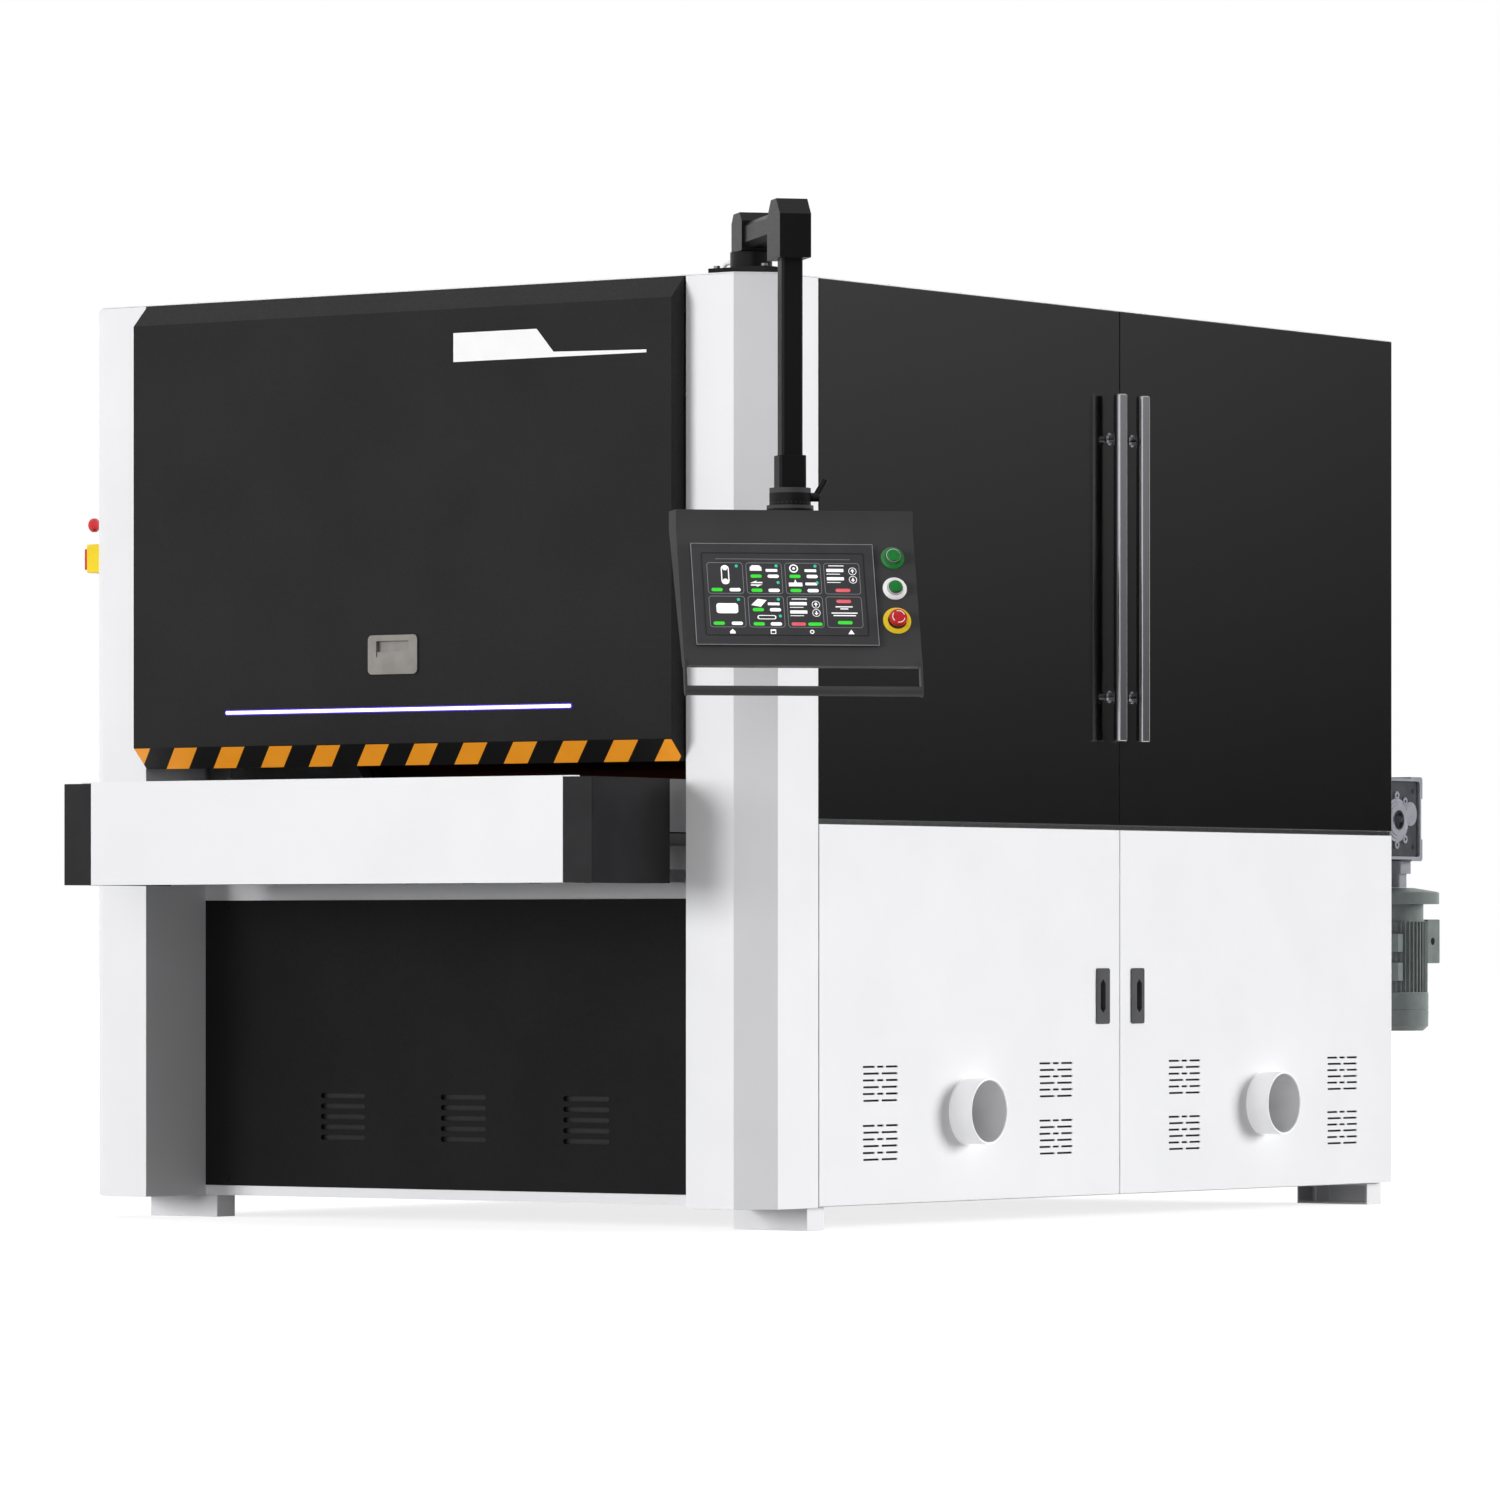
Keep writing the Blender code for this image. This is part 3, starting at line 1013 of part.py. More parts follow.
def main():
    clear_scene()
    white = paint("white_textured_paint", (0.84, 0.84, 0.86), 0.55)
    black = paint("black_paint", (0.030, 0.030, 0.031), 0.5)
    gloss = paint("black_gloss_paint", (0.022, 0.022, 0.024), 0.08)
    plastic = paint("black_plastic", (0.035, 0.035, 0.036), 0.4)
    steel = paint("polished_steel", (0.56, 0.55, 0.53), 0.22, 1.0)
    bronze = paint("latch_metal", (0.30, 0.29, 0.28), 0.45, 1.0)
    cast = paint("grey_machine_paint", (0.16, 0.18, 0.18), 0.45)
    rubber = paint("black_rubber", (0.03, 0.03, 0.03), 0.8)
    grit = paint("abrasive_cloth", (0.30, 0.12, 0.07), 0.95)
    green = paint("green_plastic", (0.03, 0.30, 0.04), 0.35)
    red = paint("red_plastic", (0.55, 0.02, 0.02), 0.35)
    yellow = paint("yellow_plastic", (0.80, 0.60, 0.03), 0.4)
    datum = holder("machine_datum", (0.0, 0.0, 0.0))
    root = holder("fixed_frame", (0.0, 0.0, 0.0), datum)
    build_body(root, white, black)
    hood_hinge = holder("hood_hinge", (0.0, -0.003, ROOF_UNDER - RUNNING - 0.003), datum)
    front_hood(hood_hinge, black)
    latch_pivot = holder("latch_pivot", (LATCH_CENTRE[0], -HOOD_STAND_OUT - GAP - LATCH_PLATE / 2,
                                         LATCH_CENTRE[1] + LATCH_SIZE[1] / 2), datum)
    hood_latch(latch_pivot, bronze)
    build_doors(datum, white, gloss, steel)
    build_table(datum, white, black, rubber, steel, cast)
    build_heads(root, datum, white, rubber, grit, steel, cast)
    build_controls(root, datum, black, plastic, green, red, yellow)
    move_to_origin(datum)


main()
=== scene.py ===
import json
import math

import bmesh
import bpy
from mathutils import Matrix, Vector


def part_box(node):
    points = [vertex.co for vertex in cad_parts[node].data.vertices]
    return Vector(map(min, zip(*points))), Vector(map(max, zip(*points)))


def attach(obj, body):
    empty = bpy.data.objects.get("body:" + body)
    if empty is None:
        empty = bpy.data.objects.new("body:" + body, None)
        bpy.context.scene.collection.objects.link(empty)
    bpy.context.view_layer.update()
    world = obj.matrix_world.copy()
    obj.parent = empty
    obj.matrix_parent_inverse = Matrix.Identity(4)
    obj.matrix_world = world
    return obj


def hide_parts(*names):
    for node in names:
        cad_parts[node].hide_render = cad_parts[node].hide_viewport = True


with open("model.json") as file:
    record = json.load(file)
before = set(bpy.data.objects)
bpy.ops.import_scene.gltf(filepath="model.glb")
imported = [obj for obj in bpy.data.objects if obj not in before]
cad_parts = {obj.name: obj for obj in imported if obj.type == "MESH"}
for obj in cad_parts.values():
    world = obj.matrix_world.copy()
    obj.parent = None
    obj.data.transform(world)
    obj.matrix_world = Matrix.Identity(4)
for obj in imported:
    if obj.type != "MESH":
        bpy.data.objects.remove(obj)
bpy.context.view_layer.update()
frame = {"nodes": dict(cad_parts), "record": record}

# Machine axes: X from the machine's centre, Y from the front of the columns, Z from the floor.
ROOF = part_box("roof_panel")
ORIGIN = Vector(((ROOF[0].x + ROOF[1].x) / 2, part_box("column_left")[0].y, 0.0))
HALF_WIDTH = (ROOF[1].x - ROOF[0].x) / 2
FINE = 64                        # sides of a large turned piece
SMALL = 32                       # sides of a small one


def inner(node):
    """A CAD node's box in machine axes."""
    low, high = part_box(node)
    return low - ORIGIN, high - ORIGIN


# ---- nodes and materials

def add(tree, kind, settings=None, values=None, links=None):
    """Adds one node with its settings, its input values and its links, each from a socket or a first output."""
    node = tree.nodes.new(kind)
    for key, value in (settings or {}).items():
        setattr(node, key, value)
    for key, value in (values or {}).items():
        node.inputs[key].default_value = value
    for key, source in (links or {}).items():
        start = source if isinstance(source, bpy.types.NodeSocket) else source.outputs[0]
        tree.links.new(start, node.inputs[key])
    return node


def linear(code):
    """An sRGB hex colour as linear light."""
    channels = [int(code[i:i + 2], 16) / 255 for i in (0, 2, 4)]
    return tuple(c / 12.92 if c <= 0.04045 else ((c + 0.055) / 1.055) ** 2.4 for c in channels) + (1.0,)


def finish_of(name, hex_code, roughness, metallic=0.0, ior=1.5, coat=0.0, sheen=0.5, glow=0.0):
    """A material with its constants on the shader, its tree and its object coordinates."""
    material = bpy.data.materials.new(name)
    material.use_nodes = True
    tree = material.node_tree
    shader = tree.nodes["Principled BSDF"]
    constants = {"Base Color": linear(hex_code), "Roughness": roughness, "Metallic": metallic, "IOR": ior,
                 "Specular IOR Level": sheen, "Coat Weight": coat, "Coat Roughness": 0.03,
                 "Emission Color": linear(hex_code), "Emission Strength": glow}
    for socket, value in constants.items():
        shader.inputs[socket].default_value = value
    place = add(tree, "ShaderNodeTexCoord").outputs["Object"]
    return material, tree, shader, place


def grain(tree, place, size_mm, detail=3.0, stretch=(1.0, 1.0, 1.0)):
    """Noise whose lumps are about size_mm across."""
    mapping = add(tree, "ShaderNodeMapping", values={"Scale": stretch}, links={"Vector": place})
    return add(tree, "ShaderNodeTexNoise", values={"Scale": 1000.0 / size_mm, "Detail": detail},
               links={"Vector": mapping.outputs["Vector"]}).outputs["Fac"]


def mottle(tree, shader, fac, dark, light):
    """Lets the colour wander between two close tones."""
    ramp = add(tree, "ShaderNodeValToRGB", links={"Fac": fac})
    ramp.color_ramp.elements[0].position = 0.35
    ramp.color_ramp.elements[1].position = 0.65
    ramp.color_ramp.elements[0].color = linear(dark)
    ramp.color_ramp.elements[1].color = linear(light)
    tree.links.new(ramp.outputs["Color"], shader.inputs["Base Color"])


def graded(tree, source, start, end, first, last):
    """A node whose result runs from first to last while its source runs from start to end."""
    values = {"From Min": start, "From Max": end, "To Min": first, "To Max": last}
    return add(tree, "ShaderNodeMapRange", values=values, links={"Value": source})


def spread(tree, shader, fac, low, high):
    """Lets the roughness wander between two values."""
    span = graded(tree, fac, 0.3, 0.7, low, high)
    tree.links.new(span.outputs["Result"], shader.inputs["Roughness"])


def relief(tree, shader, fac, height_mm, strength=1.0):
    """Raises the surface by a pattern, height_mm from its lowest to its highest point."""
    bump = add(tree, "ShaderNodeBump", values={"Strength": strength, "Distance": height_mm / 1000.0},
               links={"Height": fac})
    tree.links.new(bump.outputs["Normal"], shader.inputs["Normal"])


def powder_coat(name, dark, light, roughness, peel_mm, height_mm, sheen=0.5):
    """Baked powder coat: an even colour with the fine orange peel of melted powder.
    The real peel is about 1.5 mm across; it is drawn coarser so that it still shows."""
    material, tree, shader, place = finish_of(name, light, roughness, sheen=sheen)
    peel = grain(tree, place, peel_mm)
    cloud = grain(tree, place, 260.0, 2.0)
    mottle(tree, shader, cloud, dark, light)
    spread(tree, shader, peel, roughness - 0.06, roughness + 0.06)
    relief(tree, shader, peel, height_mm)
    return material


def gloss_lacquer(name, hex_code):
    """Sprayed and polished lacquer: a near mirror with very slow waves, as on a flat sheet door."""
    material, tree, shader, place = finish_of(name, hex_code, 0.16, coat=0.6)
    waves = grain(tree, place, 420.0, 1.0)
    relief(tree, shader, waves, 0.05, 0.4)
    haze = grain(tree, place, 90.0, 2.0)
    spread(tree, shader, haze, 0.13, 0.20)
    return material


def moulded_plastic(name, dark, light, roughness, spark_mm=1.2, sheen=0.5, glow=0.0):
    """Moulded plastic: a fine eroded texture that breaks the gloss.
    glow is painted light: an even emission that makes the surface brighter than the lamps light it."""
    material, tree, shader, place = finish_of(name, light, roughness, ior=1.53, sheen=sheen, glow=glow)
    erosion = grain(tree, place, spark_mm)
    mottle(tree, shader, grain(tree, place, 60.0), dark, light)
    spread(tree, shader, erosion, roughness - 0.05, roughness + 0.08)
    relief(tree, shader, erosion, 0.03, 0.5)
    return material


def drawn_steel(name, hex_code, roughness, along):
    """Drawn and polished steel: hair lines that run along one axis."""
    material, tree, shader, place = finish_of(name, hex_code, roughness, metallic=1.0)
    stretch = tuple(0.02 if axis == along else 1.0 for axis in "XYZ")
    lines = grain(tree, place, 0.8, 4.0, stretch)
    spread(tree, shader, lines, roughness - 0.07, roughness + 0.07)
    relief(tree, shader, lines, 0.01, 0.3)
    return material


def painted_casting(name, dark, light, roughness, lump_mm):
    """Enamel over sand-cast metal: soft lumps under the paint, duller in the hollows."""
    material, tree, shader, place = finish_of(name, light, roughness)
    lumps = grain(tree, place, lump_mm, 4.0)
    mottle(tree, shader, grain(tree, place, 35.0), dark, light)
    spread(tree, shader, lumps, roughness - 0.08, roughness + 0.08)
    relief(tree, shader, lumps, 0.35, 0.6)
    return material


def woven_rubber(name, dark, light):
    """Conveyor or drive rubber with a fabric face: crossing ribs, drawn every 4 mm so that they show."""
    material, tree, shader, place = finish_of(name, light, 0.75, ior=1.52)
    across = add(tree, "ShaderNodeTexWave", {"bands_direction": "X"}, {"Scale": 80.0}, {"Vector": place})
    along = add(tree, "ShaderNodeTexWave", {"bands_direction": "Y"}, {"Scale": 80.0}, {"Vector": place})
    both = add(tree, "ShaderNodeMath", {"operation": "MULTIPLY"}, links={0: across.outputs["Fac"],
                                                                       1: along.outputs["Fac"]})
    mottle(tree, shader, grain(tree, place, 120.0), dark, light)
    relief(tree, shader, both.outputs["Value"], 0.3)
    return material


def abrasive_cloth(name, dark, light):
    """Coated abrasive: close-packed mineral grit in resin, drawn at 2 mm for a P60 belt."""
    material, tree, shader, place = finish_of(name, light, 0.9)
    grit = add(tree, "ShaderNodeTexVoronoi", values={"Scale": 500.0}, links={"Vector": place})
    mottle(tree, shader, grain(tree, place, 3.0, 6.0), dark, light)
    relief(tree, shader, grit.outputs["Distance"], 0.6)
    return material


def printed_film(name, dark, light, roughness=0.45, glow=0.0):
    """Printed vinyl film, lightly uneven where it takes up the paint under it.
    glow is painted light: an even emission that brightens the film whatever light falls on it."""
    material, tree, shader, place = finish_of(name, light, roughness, ior=1.46, glow=glow)
    mottle(tree, shader, grain(tree, place, 40.0), dark, light)
    relief(tree, shader, grain(tree, place, 4.0), 0.02, 0.4)
    return material


def lit_film(name, dark, light, strength):
    """A lit surface, such as a display element or a light strip behind a diffuser."""
    material, tree, shader, place = finish_of(name, light, 0.4, glow=strength)
    mottle(tree, shader, grain(tree, place, 25.0), dark, light)
    return material


WHITE = powder_coat("white_textured_powder_coat", "E6E6E8", "E9E9EB", 0.52, 5.0, 0.12)
# The spigot's glow is painted light that brightens the ports' outer side.
SPIGOT_PAINTED_GLOW = moulded_plastic("white_polypropylene_spigot", "F1F1F3", "F5F5F7", 0.45, glow=0.20)
HOOD_BLACK = powder_coat("charcoal_powder_coat", "191919", "1D1D1D", 0.60, 5.0, 0.08, 0.22)
PANEL_BLACK = powder_coat("black_powder_coat_panel", "101010", "141414", 0.60, 6.0, 0.08, 0.15)
ARM_BLACK = powder_coat("black_powder_coat_arm", "0B0B0B", "0F0F0F", 0.42, 4.0, 0.06, 0.20)
CONSOLE_GREY = powder_coat("dark_grey_powder_coat", "3A3A3A", "404040", 0.50, 3.0, 0.05, 0.25)
DOOR_GLOSS = gloss_lacquer("black_gloss_lacquer", "0B0B0C")
CAP_PLASTIC = moulded_plastic("black_abs_moulding", "131315", "19191B", 0.40, 1.2, 0.25)
PULL_PLASTIC = moulded_plastic("grey_abs_moulding", "46464A", "4E4E52", 0.40)
SLOT_BLACK = moulded_plastic("black_abs_recess", "0A0A0A", "111111", 0.55)
RED_PLASTIC = moulded_plastic("red_abs_moulding", "C01820", "CE1E26", 0.28)
YELLOW_PLASTIC = moulded_plastic("yellow_abs_moulding", "E2C415", "EDD01C", 0.32)
GREEN_PLASTIC = moulded_plastic("green_acrylic_lens", "08702A", "0B8530", 0.18)
GREEN_RING = moulded_plastic("green_abs_ring", "0B6A26", "0E7A2D", 0.25)
SILVER_RING = drawn_steel("satin_chrome_ring", "C8C9CB", 0.22, "Z")
HANDLE_STEEL = drawn_steel("bright_nickel_drawn_tube", "C4C4C8", 0.14, "Z")
BRIGHT_STEEL = drawn_steel("ground_steel", "B4B2AE", 0.25, "X")
SCREW_STEEL = drawn_steel("zinc_plated_steel", "9C9EA0", 0.32, "Z")
LATCH_METAL = painted_casting("warm_grey_zinc_casting", "817D79", "8D8985", 0.45, 3.0)
MOTOR_GREY = painted_casting("grey_green_motor_enamel", "707876", "7A8280", 0.42, 3.0)
GEARBOX_POCKET_SHADE = painted_casting("dark_aluminium_casting", "3B3C40", "46474B", 0.50, 2.5)
# A darker copy of the casting for the pocket floors: painted shade of the recesses.
GEARBOX_LIGHT = painted_casting("machined_aluminium_casting", "8C8D95", "989AA2", 0.40, 2.0)
BELT_RUBBER = woven_rubber("conveyor_rubber", "141516", "1B1C1E")
DRUM_RUBBER = woven_rubber("drum_rubber", "1A1A1B", "222223")
GRIT = abrasive_cloth("red_brown_abrasive", "6A3325", "7E4030")
# The hazard film's glow is painted light that brightens the stripes.
HAZARD_PAINTED_GLOW = printed_film("orange_hazard_film", "DC8A1E", "E39226", 0.45, 0.35)
BADGE = printed_film("white_vinyl_film", "EEEEEE", "F1F1F1")
LIGHT_STRIP = lit_film("led_diffuser", "E4DEFF", "F4F0FF", 1.0)
LIGHT_EDGE = lit_film("led_violet_edge", "3A1FB0", "4A2CC8", 0.6)
SCREEN_GLASS = moulded_plastic("screen_bezel_plastic", "38383A", "3C3C3E", 0.38, 1.2, 0.3)
# A light grey for the line round the screen's bezel: painted highlight of its edge.
BEZEL_HIGHLIGHT_GREY = moulded_plastic("worn_bezel_edge", "8A8A8C", "949496", 0.30)
TILE_LINE = lit_film("screen_grey_line", "74767A", "7C7E82", 0.25)
TILE_WHITE = lit_film("screen_white", "E6E6E6", "F0F0F0", 0.5)
TILE_GREEN = lit_film("screen_green", "2FC12A", "38CC33", 0.5)
TILE_RED = lit_film("screen_red", "C9505A", "D25A64", 0.5)
TILE_TEAL = lit_film("screen_teal", "2AA88E", "33B99C", 0.5)

# The finishes of each material slot of the part; the first is for the pieces that are carried over.
SLOTS = {
    "white_paint": (WHITE, SPIGOT_PAINTED_GLOW),
    "black_paint": (PANEL_BLACK, HOOD_BLACK, ARM_BLACK, CONSOLE_GREY),
    "black_gloss": (DOOR_GLOSS,),
    "black_plastic": (CAP_PLASTIC, PULL_PLASTIC, SLOT_BLACK, SCREEN_GLASS, BEZEL_HIGHLIGHT_GREY),
    "red_plastic": (RED_PLASTIC,),
    "yellow_plastic": (YELLOW_PLASTIC,),
    "green_plastic": (GREEN_PLASTIC, GREEN_RING),
    "steel": (BRIGHT_STEEL, SCREW_STEEL, HANDLE_STEEL, SILVER_RING),
    "latch_metal": (LATCH_METAL,),
    "machine_grey": (MOTOR_GREY, GEARBOX_LIGHT, GEARBOX_POCKET_SHADE),
    "rubber": (BELT_RUBBER, DRUM_RUBBER),
    "abrasive": (GRIT,),
}
SLOT_OF = {material.name: slot for slot, materials in SLOTS.items() for material in materials}
SLOTS["alloy"] = (BRIGHT_STEEL,)


# ---- shapes

def box(low, high):
    """A block between two opposite corners."""
    shape = bmesh.new()
    bmesh.ops.create_cube(shape, size=1.0)
    bmesh.ops.scale(shape, vec=[h - l for l, h in zip(low, high)], verts=shape.verts)
    bmesh.ops.translate(shape, vec=[(h + l) / 2 for l, h in zip(low, high)], verts=shape.verts)
    return shape


def place_on(axis, along, a, b):
    """A point from its place along an axis and its two other coordinates, in order."""
    return {"X": (along, a, b), "Y": (a, along, b), "Z": (a, b, along)}[axis]


def skinned(rings, capped=True):
    """A solid over rings of points, with closed ends or with its last ring joined to its first."""
    shape = bmesh.new()
    rows = [[shape.verts.new(point) for point in ring] for ring in rings]
    if capped:
        shape.faces.new(rows[0])
        shape.faces.new(list(reversed(rows[-1])))
    for row, following in zip(rows, rows[1:] if capped else rows[1:] + rows[:1]):
        for i in range(len(row)):
            j = (i + 1) % len(row)
            quad = (row[j], row[i], following[i], following[j])
            shape.faces.new(quad if capped else (quad[1], quad[0], quad[3], quad[2]))
    bmesh.ops.recalc_face_normals(shape, faces=shape.faces)
    return shape


def circle(centre, radius, sides=FINE):
    """The points of a circle in the plane."""
    angles = [2 * math.pi * i / sides for i in range(sides)]
    return [(centre[0] + radius * math.cos(a), centre[1] + radius * math.sin(a)) for a in angles]


def prism(outline, axis, start, end):
    """An outline drawn out along an axis."""
    return skinned([[place_on(axis, along, a, b) for a, b in outline] for along in (start, end)])


def turned(profile, axis, centre, sides=FINE):
    """A round solid from points (along, radius); the ends are closed."""
    return skinned([[place_on(axis, along, a, b) for a, b in circle(centre, radius, sides)]
                    for along, radius in profile])


def eased(steps, ease):
    """Profile of stepped cylinders (start, end, radius) with eased shoulders."""
    profile = []
    for start, end, radius in steps:
        small = min(ease, radius * 0.4, abs(end - start) * 0.4)
        profile += [(start, radius - small), (start + small, radius), (end - small, radius), (end, radius - small)]
    return profile


def rounded(width, height, radius, middle=(0.0, 0.0), steps=5):
    """A rectangle with round corners."""
    points = []
    for corner in range(4):
        sx = (1, -1, -1, 1)[corner]
        sy = (1, 1, -1, -1)[corner]
        centre = (middle[0] + sx * (width / 2 - radius), middle[1] + sy * (height / 2 - radius))
        for i in range(steps + 1):
            angle = math.pi / 2 * (corner + i / steps)
            points.append((centre[0] + radius * math.cos(angle), centre[1] + radius * math.sin(angle)))
    return points


def rod(start, end, radius, centre, axis="X", sides=SMALL):
    """A plain cylinder, for a hole or a pin."""
    return turned([(start, radius), (end, radius)], axis, centre, sides)


def ring_of(outer, inner_line, axis, start, end):
    """A closed frame between two outlines with the same number of points."""
    return skinned([[place_on(axis, along, a, b) for a, b in line] for line, along in
                    ((outer, start), (outer, end), (inner_line, end), (inner_line, start))], capped=False)


def joined(shapes):
    """Several shapes as loose shells of one mesh."""
    whole = bmesh.new()
    for shape in shapes:
        mesh = bpy.data.meshes.new("part")
        shape.to_mesh(mesh)
        shape.free()
        whole.from_mesh(mesh)
        bpy.data.meshes.remove(mesh)
    return whole


def moved(shape, matrix):
    """The same shape after a rigid move."""
    bmesh.ops.transform(shape, matrix=matrix, verts=shape.verts)
    return shape


def soften(shape, width, angle=25.0, segments=2):
    """Rounds the sharp edges of a shape."""
    edges = [e for e in shape.edges if len(e.link_faces) == 2 and e.calc_face_angle() > math.radians(angle)]
    bmesh.ops.bevel(shape, geom=edges, offset=width, segments=segments, profile=0.6, affect="EDGES",
                    clamp_overlap=True)
    return shape


def plain(shape):
    """A mesh object for use inside this script."""
    mesh = bpy.data.meshes.new("tool")
    shape.to_mesh(mesh)
    shape.free()
    item = bpy.data.objects.new("tool", mesh)
    bpy.context.collection.objects.link(item)
    return item


def applied(item):
    """The evaluated mesh of an object, as a shape; the object goes."""
    graph = bpy.context.evaluated_depsgraph_get()
    mesh = bpy.data.meshes.new_from_object(item.evaluated_get(graph))
    shape = bmesh.new()
    shape.from_mesh(mesh)
    bpy.data.objects.remove(item)
    bpy.data.meshes.remove(mesh)
    return shape


def carved(base, joins=(), cuts=()):
    """A shape with others welded to it and cut from it."""
    item = plain(base)
    tools = []
    for operation, shapes in (("UNION", joins), ("DIFFERENCE", cuts)):
        for shape in shapes:
            tool = plain(shape)
            tools.append(tool)
            change = item.modifiers.new(operation, "BOOLEAN")
            change.operation = operation
            change.object = tool
    result = applied(item)
    for tool in tools:
        bpy.data.objects.remove(tool)
    return result


def flat_faces(item):
    """Keeps a large face flat up to its rounded edges: normals weighted by the area of the faces."""
    weighted = item.modifiers.new("weighted_normals", "WEIGHTED_NORMAL")
    weighted.keep_sharp = True
    graph = bpy.context.evaluated_depsgraph_get()
    seen = item.evaluated_get(graph)
    mesh = bpy.data.meshes.new_from_object(seen, preserve_all_data_layers=True, depsgraph=graph)
    item.modifiers.clear()
    rough = item.data
    item.data = mesh
    mesh.name = item.name
    bpy.data.meshes.remove(rough)


def finished(name, shape, material, body, replaces=(), smooth=40.0, slot=None):
    """Puts a finished piece on its body, in the row frame; the slot of its material or another one is worked out
    but not used.
    """
    bmesh.ops.translate(shape, vec=ORIGIN, verts=shape.verts)
    mesh = bpy.data.meshes.new(name)
    shape.to_mesh(mesh)
    shape.free()
    mesh.materials.clear()
    mesh.materials.append(material)
    for polygon in mesh.polygons:
        polygon.material_index = 0
    mesh.shade_smooth()
    mesh.set_sharp_from_angle(angle=math.radians(smooth))
    item = bpy.data.objects.new(name, mesh)
    bpy.context.collection.objects.link(item)
    flat_faces(item)
    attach(item, body)
    if replaces:
        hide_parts(*replaces)
    if slot is None:
        slot = SLOT_OF.get(material.name)


def copied(node):
    """A welded copy of a CAD node's mesh, in machine axes."""
    shape = bmesh.new()
    shape.from_mesh(frame["nodes"][node].data)
    bmesh.ops.remove_doubles(shape, verts=shape.verts, dist=2e-5)
    bmesh.ops.dissolve_limit(shape, angle_limit=math.radians(1.0), verts=shape.verts, edges=shape.edges)
    bmesh.ops.translate(shape, vec=-ORIGIN, verts=shape.verts)
    return shape


def body_of(node):
    """The moving body that a CAD node belongs to."""
    for body, members in frame["record"]["behaviour"]["bodies"].items():
        if node in members:
            return body
    return None


def renewed(node, shape, material, smooth=40.0, slot=None):
    """A finished piece that takes the place of a CAD node, on the same body."""
    finished(node + "_finish", shape, material, body_of(node), [node], smooth, slot)


def eased_copies(nodes, material, width):
    """CAD nodes again with their sharp edges rounded."""
    for node in nodes.split():
        renewed(node, soften(copied(node), width), material)


# ---- repeats by geometry nodes

def new_tree(name, sockets):
    """A geometry tree with named inputs: (label, kind, default)."""
    tree = bpy.data.node_groups.new(name, "GeometryNodeTree")
    tree.interface.new_socket("Geometry", in_out="OUTPUT", socket_type="NodeSocketGeometry")
    for label, kind, value in sockets:
        socket = tree.interface.new_socket(label, in_out="INPUT", socket_type="NodeSocket" + kind)
        socket.default_value = value
    return tree, add(tree, "NodeGroupInput").outputs


def close_tree(tree, source, material):
    """Makes the instances real and gives them their material."""
    real = add(tree, "GeometryNodeRealizeInstances", links={"Geometry": source})
    coat = add(tree, "GeometryNodeSetMaterial", values={"Material": material}, links={"Geometry": real})
    add(tree, "NodeGroupOutput", links={"Geometry": coat})
    return tree


def grown(tree, **values):
    """Runs a tree with its inputs set and returns the shape that it makes."""
    item = plain(bmesh.new())
    modifier = item.modifiers.new("grow", "NODES")
    modifier.node_group = tree
    for socket in tree.interface.items_tree:
        label = socket.name.lower().replace(" ", "_")
        if socket.in_out == "INPUT" and label in values:
            modifier[socket.identifier] = values[label]
    item.update_tag()
    shape = applied(item)
    bmesh.ops.remove_doubles(shape, verts=shape.verts, dist=1e-6)
    bmesh.ops.recalc_face_normals(shape, faces=shape.faces)
    return shape


def row_tree(name, material, profile_kind):
    """A row of equal solids, one step apart: slots with round ends, or screw heads whose radius is Length."""
    tree, given = new_tree(name, [("Count", "Int", 5), ("Start", "Vector", (0, 0, 0)),
                                  ("Step", "Vector", (0, 0, 0)), ("Length", "Float", 0.1),
                                  ("Height", "Float", 0.01), ("Depth", "Float", 0.01),
                                  ("Turn", "Vector", (0, 0, 0))])
    line = add(tree, "GeometryNodeMeshLine", links={"Count": given["Count"], "Start Location": given["Start"],
                                                    "Offset": given["Step"]})
    if profile_kind == "slot":
        half = add(tree, "ShaderNodeMath", {"operation": "MULTIPLY"}, {1: 0.499}, {0: given["Height"]})
        outline = add(tree, "GeometryNodeCurvePrimitiveQuadrilateral",
                      links={"Width": given["Length"], "Height": given["Height"]})
        outline = add(tree, "GeometryNodeFilletCurve", {"mode": "POLY"}, {"Count": 5},
                      {"Curve": outline, "Radius": half})
    else:
        outline = add(tree, "GeometryNodeCurvePrimitiveCircle", {"mode": "RADIUS"}, {"Resolution": 20},
                      {"Radius": given["Length"]})
    face = add(tree, "GeometryNodeFillCurve", {"mode": "NGONS"}, links={"Curve": outline})
    solid = add(tree, "GeometryNodeExtrudeMesh", {"mode": "FACES"}, {"Individual": False},
                {"Mesh": face, "Offset Scale": given["Depth"]})
    back = add(tree, "GeometryNodeFlipFaces", links={"Mesh": face})
    both = add(tree, "GeometryNodeJoinGeometry")
    for part in (solid, back):
        tree.links.new(part.outputs[0], both.inputs[0])
    spots = add(tree, "GeometryNodeInstanceOnPoints",
                links={"Points": line, "Instance": both, "Rotation": given["Turn"]})
    return close_tree(tree, spots, material)


